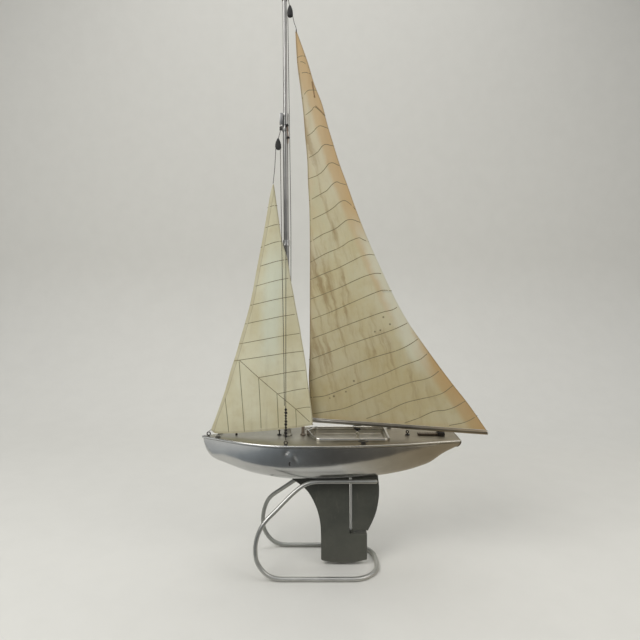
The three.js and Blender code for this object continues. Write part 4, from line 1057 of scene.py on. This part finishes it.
g = Geo().add(lathe(rounded([(0, 274), (4.5, 274), (4.5, 284), (0, 284)], 0.7), (PIV[0], 0, 0), 32))
g.add(lathe(rounded([(0, 3), (2.8, 3), (2.8, 22), (0, 22)], 0.3), at=B, sides=24))
done(make("gooseneck_swivel_barrel", g, DULL), "gooseneck_swivel")
k = [(3.2, 7.5), (3.7, 7.5), (4.0, 7.8)] + [(4.0 * (1 + 0.004 * math.sin(z * 0.07)), z) for z in np.arange(18, LB - 10, 10)] + [(4.0, LB - 2.1), (3.7, LB - 1.8), (3.2, LB - 1.8), (3.2, 7.5)]
done(make("boom_tube_drawn", lathe(k, at=B, sides=36), BOOM_METAL), "boom_tube")
done(make("boom_end_cap", lathe(rounded([(0, LB - 12), (2.9, LB - 12), (2.9, LB - 1.5), (4.2, LB - 1.5), (4.2, LB), (3.4, LB + 0.7), (0, LB + 0.7)], 0.3), at=B, sides=32), RIM_METAL), "boom_end_plug")
e = PIV + dirb * 99.3
turn = math.atan2(dirb[1], dirb[0])
g = Geo().add(ring(e[0], e[1], e[2] - 6.9, 2, 0.6, turn))
done(make("boom_sheet_eye_ring", g, DARK), "boom_sheet_eye")
sheet_path = curve([(e[0] + 0.1, e[1] + 0.3, e[2] - 10), (70.2, -6.4, 263.5), (73, 0, 259.2)], 0.8)
ob = make("mainsheet_line", tube(sheet_path, 0.8, 12, 3, 0.16, 3.5), BLACK_CORD, 80)
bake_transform(ob)
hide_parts("mainsheet")

# ------------------------------------------------------------------ deck fittings
g = Geo().add(ring(-216.5, 0, 251.7, 3.2, 1.0)).add(lathe(rounded([(0, 247.25), (1.9, 247.25), (1.9, 247.8), (1.1, 248.2), (0, 248.2)], 0.2), (-216.5, 0, 0), 20))
done(make("bow_eye_ring", g, DARK), "bow_eye")
rope("jib_tack_line", curve([(-215.4, 0, 256.9), (-213.9, -0.8, 258.3), (-211.6, -1.9, 259.4)], 0.5), "jib_tack_lashing", r=0.5)
for name, s in (("port", -1), ("starboard", 1)):
    y = s * 12
    g = Geo().add(slab([(-201, y - 1.5), (-191, y - 1.5), (-191, y + 1.5), (-201, y + 1.5)], 248.0, 249.4, 0.4, 3, plane="xy")).add(ring(-196, y, 250.8, 2.0, 0.7))
    for x in (-199.4, -192.6):
        g.add(lathe(rounded([(0, 249.2), (0.8, 249.2), (0.8, 249.7), (0, 249.9)], 0.1), (x, y, 0), 12))
    done(make(f"bow_fairlead_{name}_cast", g, DARK), f"bow_fairlead_{name}")
    y = s * 55.5
    horn = [(69.6, 253.3), (72.6, 251.8), (75.6, 251.2), (79.5, 251.0), (83.4, 251.2), (86.4, 251.8), (89.2, 253.3), (88.8, 253.9), (85.4, 253.4), (79.5, 253.0), (73.4, 253.4), (70.0, 253.9)]
    g = Geo().add(slab(horn, y - 1.6, y + 1.6, 0.5, 3)).add(block_of(76, 83, y - 1.3, y + 1.3, 249.2, 251.6, 0.4)).add(slab([(75, y - 2.2), (84, y - 2.2), (84, y + 2.2), (75, y + 2.2)], 248.5, 249.6, 0.35, 2, plane="xy"))
    done(make(f"horn_cleat_{name}_cast", g, DARK), f"horn_cleat_{name}")
done(make("deck_knob_turned", lathe(rounded([(0, 248.9), (2.4, 248.9), (2.4, 250.2), (1.4, 250.8), (2.2, 252), (1.4, 253.1), (0, 253.4)], 0.4), (-162.5, 0, 0), 28), DARK), "deck_knob")
g = Geo().add(lathe(rounded([(0, 249.3), (4.2, 249.3), (4.2, 250.4), (1.3, 251), (1.3, 256), (2.0, 257), (1.6, 259.2), (0, 259.6)], 0.3), (-79, 0, 0), 28))
done(make("pin_fitting_turned", g, DARK), "pin_fitting")
g = Geo().add(lathe(rounded([(0, 241.4), (4.8, 241.4), (4.8, 242.6), (3.5, 243), (3.5, 256.6), (2.6, 257.6), (0, 257.6)], 0.4), (73, 0, 0), 32))
done(make("sheet_post_turned", g, RIM_METAL), "sheet_post")
kn = make("sheet_post_knot", Geo().add(knot((73, -0.2, 259.6), 3.0)).add(knot((69.6, -1.4, 261.0), 2.2, 3)).add(knot((76.8, 0.4, 260.4), 2.0, 5)), BLACK_CORD, 70)
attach(kn, "yacht")
g = Geo().add(lathe(rounded([(0, 249.3), (4.4, 249.3), (4.4, 250.5), (1.6, 251), (1.6, 253), (0, 253)], 0.35), (170, 0, 0), 28)).add(ring(170, 0, 255.1, 2.4, 0.95))
done(make("aft_eye_ring", g, DARK), "aft_eye")
g = Geo()
prof = [(190, 249.3), (242, 249.3), (242, 252.3), (241.6, 252.9)]
for i in range(9, -1, -1):
    x0 = 190 + i * 5 + 1.0
    prof += [(x0 + 3.6, 252.9), (x0 + 2.9, 252.0), (x0 + 1.2, 252.0), (x0 + 0.4, 252.9)]
prof += [(190.4, 252.9), (190, 252.3)]
prof = [q for i, q in enumerate(prof) if i == 0 or math.dist(q, prof[i - 1]) > 0.2]
g.add(slab(prof, -5, 5, 0.25, 2))
done(make("sheet_rack_ribbed", g, RACK_METAL, 30), "sheet_rack")
saddle = [(-7.5, 249.6), (-5.4, 249.6), (-5.4, 253.3), (5.4, 253.3), (5.4, 249.6), (7.5, 249.6), (7.5, 254.6), (6.2, 256), (4, 256.1), (4, 258.2), (2.8, 259.4), (-2.8, 259.4), (-4, 258.2), (-4, 256.1), (-6.2, 256), (-7.5, 254.6)]
g = Geo().add(moved(slab([(a, b) for a, b in saddle], 228, 241, 0.6, 3), lambda q: (q[1], q[0], q[2])))
g.add(lathe(rounded([(0, -5.6), (1.1, -5.6), (1.1, 5.6), (0, 5.6)], 0.3), (234.5, 0, 257), 16, "y"))
done(make("sheet_slider_saddle", g, DARK, 35), "sheet_slider")
g = Geo().add(slab([(136, 42.6), (144, 42.6), (144, 45.4), (136, 45.4)], 249.2, 250.4, 0.35, 2, plane="xy")).add(ring(140, 44, 251.6, 1.8, 0.6))
done(make("deck_eye_starboard_ring", g, DARK), "deck_eye_starboard")

# ------------------------------------------------------------------ sails
ML = [(-17.0, 283.6), (-19.6, 319.4), (-21.6, 356.2), (-20.0, 414.5), (-19.8, 511.6), (-19.8, 628.1), (-20.8, 690.3), (-23.3, 737.0), (-24.9, 783.7), (-29.0, 830.5), (-32.7, 877.4), (-38.2, 924.4), (-44.4, 971.5), (-48.2, 1034.1)]
MR = [(308.3, 272.6), (301.2, 282.7), (276.0, 318.8), (247.3, 355.3), (220.1, 392.1), (194.0, 429.3), (168.8, 466.7), (147.6, 504.4), (129.3, 542.4), (112.3, 580.6), (95.5, 618.9), (79.7, 657.4), (65.3, 696.0), (51.9, 734.8), (37.8, 773.8), (25.7, 812.8), (14.1, 851.9), (3.9, 891.1), (-11.1, 930.6), (-22.7, 970.2), (-36.4, 1009.9), (-45.0, 1033.9)]
JL = [(-212.1, 258.6), (-205.1, 281.9), (-193.4, 313.0), (-182.5, 344.2), (-173.6, 375.3), (-163.5, 406.5), (-154.7, 437.6), (-145.6, 468.7), (-137.0, 499.9), (-130.6, 531.0), (-124.9, 562.1), (-118.9, 593.3), (-112.9, 624.4), (-107.4, 655.5), (-102.0, 686.7), (-96.7, 717.8), (-91.9, 736.3)]
JR = [(-14.1, 274.2), (-14.5, 291.2), (-17.9, 317.6), (-21.4, 344.0), (-24.4, 366.8), (-27.1, 389.6), (-30.8, 412.4), (-34.9, 435.2), (-38.4, 458.1), (-43.0, 481.1), (-47.5, 504.1), (-51.6, 527.2), (-56.3, 550.3), (-59.8, 573.4), (-64.1, 596.6), (-69.6, 612.2), (-75.5, 635.5), (-79.5, 666.7), (-82.9, 690.1), (-89.7, 736.2)]
JFOOT = [(-212.1, 258.6), (-202.6, 252.4), (-121.4, 258.8), (-61.8, 266.4), (-45.8, 268.2), (-14.1, 274.2)]
MS = [
    [(-39.9, 984.2), (-35.8, 984.9), (-31.4, 984.9)],
    [(-40.4, 973.9), (-33.8, 973.0), (-29.0, 970.0), (-24.9, 965.6)],
    [(-37.5, 951.4), (-29.0, 951.9), (-21.7, 950.5)],
    [(-32.6, 905.7), (-29.0, 911.5), (-22.9, 916.3), (-16.9, 916.9)],
    [(-29.7, 869.3), (-21.7, 873.7), (-15.7, 877.8), (-10.8, 883.8), (-4.8, 880.1), (2.4, 873.8), (9.6, 867.4)],
    [(-25.4, 829.2), (-18.1, 832.5), (-12.1, 837.1), (-6.0, 843.6), (0.0, 846.7), (8.4, 844.9)],
    [(-21.7, 787.3), (-12.1, 791.3), (-3.6, 797.0), (4.8, 807.5), (10.8, 810.7), (16.8, 809.9)],
    [(-16.9, 748.1), (-7.2, 750.7), (3.6, 757.1), (10.8, 765.2), (16.8, 773.0), (24.0, 775.1), (31.1, 772.5)],
    [(-16.9, 706.4), (-2.0, 713.4), (14.2, 722.4), (20.9, 730.3), (27.6, 736.2), (32.9, 738.1), (38.3, 735.7)],
    [(-15.6, 667.7), (6.1, 676.8), (18.2, 683.3), (27.6, 689.8), (37.0, 698.3), (46.3, 702.1), (54.3, 698.6), (65.6, 687.6)],
    [(-14.2, 627.1), (6.1, 638.3), (19.5, 643.5), (31.6, 649.3), (42.3, 657.9), (50.3, 663.8), (60.9, 665.6), (68.9, 663.2)],
    [(-13.5, 587.8), (8.8, 599.8), (19.5, 604.4), (32.9, 609.7), (45.0, 616.2), (54.3, 622.8), (66.2, 628.0), (75.5, 630.6), (80.8, 627.8), (89.4, 624.4)],
    [(-18.3, 551.4), (7.8, 562.4), (35.5, 573.4), (61.2, 586.2), (81.3, 596.0), (97.6, 598.8), (101.3, 598.0)],
    [(-18.3, 513.3), (7.8, 523.4), (39.2, 536.4), (66.7, 549.3), (88.6, 558.4), (106.7, 562.7), (120.4, 561.9)],
    [(-17.6, 473.7), (18.9, 488.1), (52.1, 503.1), (81.3, 516.1), (104.9, 526.1), (119.3, 530.5), (136.2, 529.4)],
    [(-19.1, 435.6), (15.2, 449.1), (52.1, 464.3), (88.6, 478.3), (117.5, 488.7), (139.0, 494.3), (148.7, 500.6)],
    [(-21.3, 395.3), (15.2, 410.1), (52.1, 425.5), (88.6, 438.9), (117.5, 448.5), (142.6, 457.9), (164.7, 468.3)],
    [(-21.3, 353.4), (15.2, 369.2), (52.1, 384.1), (88.6, 398.5), (117.5, 408.2), (142.6, 415.9), (164.0, 425.4), (185.2, 439.1)],
    [(-16.5, 322.6), (7.8, 326.3), (33.7, 336.3), (70.4, 352.1), (106.7, 365.8), (124.7, 373.6), (156.9, 388.9), (178.1, 396.6), (188.7, 400.8), (201.8, 411.5)],
    [(-12.7, 291.0), (15.2, 296.8), (44.7, 303.3), (81.3, 319.2), (117.5, 335.0), (149.7, 349.7), (174.6, 358.4), (195.8, 363.3), (209.8, 369.0), (225.6, 381.3)],
    [(88.6, 285.6), (124.7, 300.4), (160.4, 318.0), (192.3, 327.0), (213.3, 332.3), (229.0, 338.1), (248.9, 353.1)],
    [(159.7, 279.8), (185.2, 289.8), (213.3, 303.4), (234.3, 306.6), (251.6, 312.9), (269.6, 323.9)],
    [(241.2, 278.1), (265.4, 283.6), (277.5, 288.7), (292.2, 297.8)],
]
JS = [[(-102.4, 691.0), (-82.5, 694.4)], [(-108.0, 651.1), (-77.7, 657.9)], [(-115.4, 613.7), (-74.9, 625.4)], [(-121.0, 575.6), (-62.7, 590.1)], [(-128.4, 537.4), (-59.0, 553.9)], [(-135.8, 501.0), (-51.4, 518.9)], [(-141.4, 465.9), (-44.9, 484.9)], [(-148.9, 427.8), (-36.8, 448.2)], [(-156.2, 395.0), (-31.2, 414.3)], [(-118.4, 362.5), (-27.5, 378.0)], [(-81.1, 332.3), (-21.9, 343.8)], [(-45.9, 303.9), (-16.6, 307.8)], [(-156.2, 395.0), (-118.4, 362.9), (-81.1, 332.3), (-45.9, 303.6), (-13.3, 274.2)], [(-185.0, 326.8), (-176.8, 255.8)], [(-156.8, 393.0), (-145.8, 258.1)], [(-118.0, 362.9), (-112.9, 260.1)], [(-82.4, 332.1), (-79.5, 261.2)], [(-46.4, 303.9), (-45.4, 269.4)]]


def xline(line):
    rows = [(z, x) for x, z in line]
    return lambda z: table(rows, z)


class Sail:
    def __init__(self, luff, leech, foot, shape, seams, seed, crinkle):
        self.lu, self.le, self.foot, self.shape, self.seed, self.k = luff, leech, foot, shape, seed, crinkle
        self.xl, self.xr = xline(luff), xline(leech)
        self.seams = seams
        a, b = [], []
        for s in seams:
            for p, q in zip(s, s[1:]):
                a.append(p)
                b.append(q)
        self.sa, self.sb = np.array(a, float), np.array(b, float)
        self.z0, self.z1 = min(luff[0][1], leech[0][1]), max(luff[-1][1], leech[-1][1])

    def uv(self, x, z):
        l, r = self.xl(z), self.xr(z)
        return clamp((x - l) / max(1e-3, r - l)), clamp((z - self.z0) / (self.z1 - self.z0))

    def seam_distance(self, pts):
        pts = np.asarray(pts, float)
        best = np.full(len(pts), 1e9)
        for a, b in zip(self.sa, self.sb):
            d = b - a
            t = np.clip(((pts - a) @ d) / (d @ d), 0, 1)
            best = np.minimum(best, np.linalg.norm(pts - a - t[:, None] * d, axis=1))
        return best

    def y(self, x, z):
        u, v = self.uv(x, z)
        s, kk = self.seed, self.k
        c = 0.95 * noise.noise(Vector((x * 0.040, z * 0.0055, s)))
        c += 0.42 * noise.noise(Vector((x * 0.105, z * 0.018, s + 3)))
        c += 0.16 * noise.noise(Vector((x * 0.25, z * 0.11, s + 5)))
        hold = min(1.0, 4.5 * u * (1 - u) + 0.25)
        return self.shape(x, z, u, v) + kk * c * hold


def main_shape(x, z, u, v):
    return -47 / 343 * (x + 33) - 4 * u * (1 - u) * (1.5 + 8 * 4 * v * (1 - v))


def jib_shape(x, z, u, v):
    return -(0.112 + 0.042 * max(0, (z - 271) / 465)) * max(0, x - XJ(z)) - 4 * u * (1 - u) * (1.5 + 5 * 4 * v * (1 - v))


XJ = xline(JL)


def main_foot(x):
    return lerp(279, 267, (x + 33) / 343) + 4.7


def jib_foot(x):
    return table(JFOOT, x)


def build_sail(name, S, rows, cols, mat):
    pts, uvs = [], []
    for r in range(rows + 1):
        v = (r / rows) ** 0.92
        za, zb = lerp(S.lu[0][1], S.lu[-1][1], v), lerp(S.le[0][1], S.le[-1][1], v)
        a, b = (S.xl(za), za), (S.xr(zb), zb)
        for c in range(cols + 1):
            u = c / cols
            x, z = lerp(a[0], b[0], u), lerp(a[1], b[1], u)
            if r == 0:
                z = S.foot(x)
            else:
                z += (S.foot(x) - lerp(S.lu[0][1], S.le[0][1], u)) * max(0, 1 - v * 4)
            pts.append((x, z))
            uvs.append((u, v))
    sd = S.seam_distance(pts)
    w = cols + 1
    le_line = np.array(S.le, float)
    lu_line = np.array(S.lu, float)

    def dist_to(line, q):
        best = 1e9
        for a, b in zip(line, line[1:]):
            d = b - a
            t = clamp(float((q - a) @ d / (d @ d)))
            best = min(best, float(np.linalg.norm(q - a - t * d)))
        return best
    mid, thick, at_l, at_u, at_f = [], [], [], [], []
    for (x, z), d, (u, v) in zip(pts, sd, uvs):
        y = S.y(x, z) + 0.10 * math.sin(x * 0.55 + z * 0.35) * math.exp(-(d / 5) ** 2)
        q = np.array((x, z))
        dl, du, df = dist_to(le_line, q), dist_to(lu_line, q), max(0.0, z - S.foot(x))
        t = 0.17 + 0.13 * math.exp(-(d / 3.2) ** 4) + 0.16 * (dl < 5.5) + 0.20 * (du < 6.5) + 0.14 * (df < 5)
        mid.append((x, y, z))
        thick.append(min(t, 0.48))
        at_l.append(dl)
        at_u.append(du)
        at_f.append(df)
    n = len(mid)
    V = [(x, y - t, z) for (x, y, z), t in zip(mid, thick)] + [(x, y + t, z) for (x, y, z), t in zip(mid, thick)]
    F = []
    for r in range(rows):
        for c in range(cols):
            i = r * w + c
            F.append((i, i + 1, i + w + 1, i + w))
            F.append((n + i, n + i + w, n + i + w + 1, n + i + 1))
    rim = [c for c in range(w)] + [r * w + cols for r in range(1, rows + 1)] + [rows * w + c for c in range(cols - 1, -1, -1)] + [r * w for r in range(rows - 1, 0, -1)]
    for i, p in enumerate(rim):
        q = rim[(i + 1) % len(rim)]
        F.append((p, n + p, n + q, q))
    me = bpy.data.meshes.new(name)
    me.from_pydata([P(q) for q in V], [], F)
    ob = bpy.data.objects.new(name, me)
    scene.collection.objects.link(ob)
    me.materials.append(mat)
    for key, vals in (("leech", at_l), ("luff", at_u), ("foot", at_f)):
        a = me.attributes.new(key, "FLOAT", "POINT")
        a.data.foreach_set("value", vals + vals)
    bm = bmesh.new()
    bm.from_mesh(me)
    bmesh.ops.recalc_face_normals(bm, faces=bm.faces)
    bm.to_mesh(me)
    bm.free()
    me.polygons.foreach_set("use_smooth", [True] * len(me.polygons))
    me.set_sharp_from_angle(angle=rad(60))
    flat = sum(np.linalg.norm(np.cross(np.array(pts[b]) - pts[a], np.array(pts[c]) - pts[a])) / 2
               for i in range(rows) for j in range(cols)
               for a, b, c in ((i * w + j, i * w + j + 1, i * w + j + w + 1), (i * w + j, i * w + j + w + 1, i * w + j + w))) / 1e6
    return ob, flat


def seam_curve(s, k, bow):
    """A sewn seam from its plan points: a slow rise that flattens near the leech, as the panels were cut."""
    p = [np.array(q, float) for q in s]
    if len(p) == 2:
        a, b = p
        d = b - a
        nrm = np.array((-d[1], d[0])) / np.linalg.norm(d)
        if nrm[1] < 0:
            nrm = -nrm
        p = [a, a + d * 0.3 + nrm * bow * 0.55, a + d * 0.68 + nrm * bow, b]
    out = curve([(q[0], q[1], 0) for q in p], 2.0)
    return [(q[0], q[1]) for q in out]


def to_edges(line, S, reach=15.0):
    """Carries a seam out to the luff and the leech when it ends near one."""
    out = list(line)
    for end, edge in ((0, S.xl), (-1, S.xr)):
        (x0, z0), (x1, z1) = out[end], out[3 if end == 0 else -4]
        goal = edge(z0) + (0.6 if end == 0 else -0.6)
        if 0.8 < abs(goal - x0) < reach and abs(x0 - x1) > 1e-3:
            slope = max(-1.2, min(1.2, (z0 - z1) / (x0 - x1)))
            n_ = max(2, int(abs(goal - x0) / 2))
            extra = [(x0 + (goal - x0) * i / n_, z0 + slope * (goal - x0) * i / n_) for i in range(1, n_ + 1)]
            extra = [(min(max(a, S.xl(b) + 0.5), S.xr(b) - 0.5), b) for a, b in extra]
            out = extra[::-1] + out if end == 0 else out + extra
    return out


def ribbons(name, S, lines, half_w, mat, off=0.36, sides=(-1, 1)):
    g = Geo()
    for ln in lines:
        m_ = len(ln)
        if m_ < 3:
            continue
        q = np.array(ln, float)
        t = np.gradient(q, axis=0)
        t /= np.linalg.norm(t, axis=1)[:, None]
        nn = np.stack([-t[:, 1], t[:, 0]], 1)
        for s in sides:
            V, F = [], []
            for i in range(m_):
                for k in (-1, 1):
                    for lift_ in (off - 0.14, off + 0.10):
                        x, z = q[i] + nn[i] * half_w * k
                        V.append((x, S.y(x, z) + s * lift_, z))
            for i in range(m_ - 1):
                a, b = i * 4, (i + 1) * 4
                for c, d in ((0, 1), (1, 3), (3, 2), (2, 0)):
                    F.append((a + c, a + d, b + d, b + c))
            F += [(0, 1, 3, 2), tuple((m_ - 1) * 4 + c for c in (0, 2, 3, 1))]
            g.add((V, F))
    return make(name, g, mat, 60)


main_lines = [[(q[0], q[1]) for q in curve([(a, b, 0) for a, b in row], 2.0)] for row in MS]
jib_lines = [seam_curve(s, i, 1.2 if i < 12 else 0.4) for i, s in enumerate(JS)]
main_sail = Sail(ML, MR, main_foot, main_shape, MS, 11.3, 1.0)
jib_sail = Sail(JL, JR, jib_foot, jib_shape, JS, 27.9, 0.8)

tan, brown, amber = lin(204, 170, 118), lin(120, 96, 64), lin(208, 168, 108)
FOXING = [(64.8, 357.2, 3.2), (26.7, 326.5, 3.4), (49.6, 336.1, 2.6), (19.0, 322.7, 2.2), (119.9, 479.6, 3.0), (114.2, 454.8, 2.8), (132.3, 466.3, 3.0), (104, 452, 2.6)]
STAINS = [((-15.2, 934), (-10.6, 904), 2.0, 0.8), ((-10.9, 905.5), (-10.3, 902.5), 2.6, 0.8), ((-8.2, 885.5), (9.2, 868), 2.1, 0.8), ((119, 528), (137, 528), 2.4, 0.7), ((178, 440), (196, 451), 1.8, 0.35)]
spots = [(a, main_sail.y(a, b), b, c) for a, b, c in FOXING]
MAIN_CLOTH = sail_material("mainsail_cotton", lin(214, 210, 182), lin(206, 196, 156), lin(190, 172, 126), 25, 0.66, spots, STAINS, glow=((84, 640), (186, 400), 27))
JIB_CLOTH = sail_material("jib_cotton", lin(224, 222, 196), lin(212, 205, 170), lin(196, 182, 138), 0, glow=((-88, 600), (-96, 400), 30))

ob, flat = build_sail("mainsail_cloth", main_sail, 180, 104, MAIN_CLOTH)
done(ob, "mainsail")
seams = ribbons("mainsail_seams", main_sail, [to_edges(q, main_sail) for q in main_lines], 0.62, SEAM)
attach(seams, "boom_rig")
ob, flat = build_sail("jib_cloth", jib_sail, 150, 72, JIB_CLOTH)
done(ob, "jib")
seams = ribbons("jib_seams", jib_sail, [to_edges(q, jib_sail) if i < 12 else q for i, q in enumerate(jib_lines)], 0.55, SEAM)
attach(seams, "jib_sail")

hy = main_sail.y(-46.4, 1031.5)
g = Geo().add(tube(curve([(-46.4, hy - 0.9, 1031.0), (-46.6, hy - 1.0, 1034.5), (-46.3, 0.9, 1039.0), (-45.6, hy + 1.0, 1034.5), (-46.2, hy + 0.9, 1031.0)], 0.5), 0.5, 10, 3, 0.16, 3))
kn = make("mainsail_head_lashing", g, LINE, 80)
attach(kn, "boom_rig")
path = curve([(-15.6, -19.2, 269.2), (-21.4, -12, 264.5), (-28.8, -3.9, 261)], 0.6)
ob = make("jib_sheet_line", tube(path, 0.55, 10, 3, 0.16, 3), LINE, 80)
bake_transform(ob)
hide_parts("jib_sheet")

# ------------------------------------------------------------------ floor, backdrop, light
def stage_mesh(name, verts, faces, mat, smooth=True):
    me = bpy.data.meshes.new(name)
    me.from_pydata(verts, [], faces)
    ob = bpy.data.objects.new(name, me)
    scene.collection.objects.link(ob)
    me.materials.append(mat)
    me.polygons.foreach_set("use_smooth", [smooth] * len(me.polygons))
    return ob


k = Mat("floor_cloth", rough=0.75)
c = k.mix(k.span(k.noise(14, 5, 0.6), 0.3, 0.7), lin(209, 208, 202), lin(211, 210, 204))
FLOOR = k.out(c, None, k.bump(k.noise(60, 3), 0.08, 0.002))
sweep_ = [(-3.2, 0.0), (-1.0, 0.0), (0.0, 0.0), (0.8, 0.0)] + [(0.8 + 0.7 * math.sin(rad(a)), 0.7 - 0.7 * math.cos(rad(a))) for a in range(6, 91, 6)] + [(1.5, 2.0), (1.5, 4.0)]
cols_ = np.linspace(-4, 4, 9)
V = [(float(x), y, z - 0.0004) for y, z in sweep_ for x in cols_]
w = len(cols_)
F = [(r * w + c, r * w + c + 1, (r + 1) * w + c + 1, (r + 1) * w + c) for r in range(len(sweep_) - 1) for c in range(w - 1)]
stage_mesh("floor", V, F, FLOOR)

world = bpy.data.worlds.new("world")
scene.world = world
world.use_nodes = True
wt = world.node_tree
tcw, sep = wt.nodes.new("ShaderNodeTexCoord"), wt.nodes.new("ShaderNodeSeparateXYZ")
wt.links.new(tcw.outputs["Generated"], sep.inputs[0])


def wspan(sock, a, b, lo_, hi_):
    k = wt.nodes.new("ShaderNodeMapRange")
    k.interpolation_type = "SMOOTHSTEP"
    wt.links.new(sock, k.inputs["Value"])
    for n_, v_ in zip(("From Min", "From Max", "To Min", "To Max"), (a, b, lo_, hi_)):
        k.inputs[n_].default_value = v_
    return k.outputs[0]


def wadd(a, b):
    k = wt.nodes.new("ShaderNodeMath")
    wt.links.new(a, k.inputs[0])
    wt.links.new(b, k.inputs[1])
    return k.outputs[0]


# soft light from above and behind, a dim room in front of the table
level = wadd(wspan(sep.outputs["Z"], 0.05, 0.9, 0.12, 0.60), wspan(sep.outputs["Y"], -0.35, 0.7, 0.0, 0.20))
bg = wt.nodes["Background"]
bg.inputs["Color"].default_value = (0.95, 0.97, 1.0, 1)
wt.links.new(level, bg.inputs["Strength"])


def area(name, loc, target, size, energy, colour=(1, 1, 1)):
    d = bpy.data.lights.new(name, "AREA")
    d.shape, d.size, d.size_y, d.energy, d.color = "RECTANGLE", size[0], size[1], energy, colour
    o = bpy.data.objects.new(name, d)
    o.location = loc
    o.rotation_mode = "QUATERNION"
    o.rotation_quaternion = (Vector(target) - Vector(loc)).to_track_quat("-Z", "Y")
    scene.collection.objects.link(o)
    return o


area("key", (-1.5, -1.3, 2.1), (0, 0, 0.45), (1.6, 1.2), 38, (1.0, 0.985, 0.96))
area("fill", (1.7, -1.1, 1.5), (0, 0, 0.4), (1.4, 1.4), 15, (1.0, 0.97, 0.93))
area("top", (0.0, 0.5, 2.6), (0, 0.1, 0.2), (2.2, 1.6), 14, (1, 1, 1))

# a studio flag: the dim floor in front of the table, seen only in glossy reflections
fm = bpy.data.materials.new("flag_cloth")
fm.use_nodes = True
ft = fm.node_tree
fc, fx, fr_, fe = (ft.nodes.new(n_) for n_ in ("ShaderNodeTexCoord", "ShaderNodeSeparateXYZ", "ShaderNodeValToRGB", "ShaderNodeEmission"))
ft.links.new(fc.outputs["Object"], fx.inputs[0])
shift = ft.nodes.new("ShaderNodeMapRange")
ft.links.new(fx.outputs["X"], shift.inputs["Value"])
shift.inputs["From Min"].default_value, shift.inputs["From Max"].default_value = -0.9, 0.6
ft.links.new(shift.outputs[0], fr_.inputs[0])
els = fr_.color_ramp.elements
for n_ in range(4):
    els.new(0.5)
for e_, (q, c_) in zip(els, [(0.0, (0.70, 0.71, 0.70)), (0.20, (0.52, 0.54, 0.545)), (0.30, (0.31, 0.34, 0.36)), (0.44, (0.19, 0.205, 0.215)), (0.60, (0.090, 0.088, 0.082)), (1.0, (0.19, 0.175, 0.15))]):
    e_.position, e_.color = q, c_ + (1,)
ft.links.new(fr_.outputs[0], fe.inputs["Color"])
ft.links.new(fe.outputs[0], ft.nodes["Material Output"].inputs["Surface"])
flag_edge = [(-1.0, -0.02), (-0.65, -0.05), (-0.45, -0.062), (-0.30, -0.076), (-0.1, -0.12), (0.0, -0.15), (0.1, -0.20), (0.2, -0.265), (0.3, -0.345), (0.45, -0.44), (0.62, -0.56)]
V = [(SH / 1000 + a, b, 0.003) for a, b in flag_edge] + [(SH / 1000 + a, -1.6, 0.003) for a, b in flag_edge]
w = len(flag_edge)
flag = stage_mesh("flag", V, [(i, i + 1, w + i + 1, w + i) for i in range(w - 1)], fm, False)
# a warm glowing card aft, seen only in glossy reflections: painted reflection of the brownish floor by the stern
wm = bpy.data.materials.new("flag_warm")
wm.use_nodes = True
wn = wm.node_tree
wc, wx, wr, we = (wn.nodes.new(n_) for n_ in ("ShaderNodeTexCoord", "ShaderNodeSeparateXYZ", "ShaderNodeValToRGB", "ShaderNodeEmission"))
wn.links.new(wc.outputs["Object"], wx.inputs[0])
wn.links.new(wx.outputs["X"], wr.inputs[0])
els = wr.color_ramp.elements
els.new(0.5)
for e_, (q, c_) in zip(els, [(0.03, (0.58, 0.555, 0.49)), (0.13, (0.42, 0.385, 0.31)), (0.34, (0.37, 0.33, 0.26))]):
    e_.position, e_.color = q, c_ + (1,)
wn.links.new(wr.outputs[0], we.inputs["Color"])
wn.links.new(we.outputs[0], wn.nodes["Material Output"].inputs["Surface"])
warm = stage_mesh("flag_aft", [(SH / 1000 + a, b, 0.002) for a, b in ((0.07, -0.6), (1.2, -0.6), (1.2, 0.7), (0.07, 0.7))], [(0, 1, 2, 3)], wm, False)
warm.visible_camera = warm.visible_diffuse = warm.visible_shadow = warm.visible_transmission = False
# a dark card to the left, seen only in glossy reflections: painted dark reflection along the mast's left edge
sm = bpy.data.materials.new("flag_side")
sm.use_nodes = True
se = sm.node_tree.nodes.new("ShaderNodeEmission")
se.inputs["Color"].default_value = (0.085, 0.085, 0.085, 1)
sm.node_tree.links.new(se.outputs[0], sm.node_tree.nodes["Material Output"].inputs["Surface"])
side_ = stage_mesh("flag_side", [(-1.25, -0.45, 0.1), (-1.25, 0.75, 0.1), (-1.25, 0.75, 2.4), (-1.25, -0.45, 2.4)], [(0, 1, 2, 3)], sm, False)
side_.visible_camera = side_.visible_diffuse = side_.visible_shadow = side_.visible_transmission = False
flag.visible_camera = flag.visible_diffuse = flag.visible_shadow = flag.visible_transmission = False
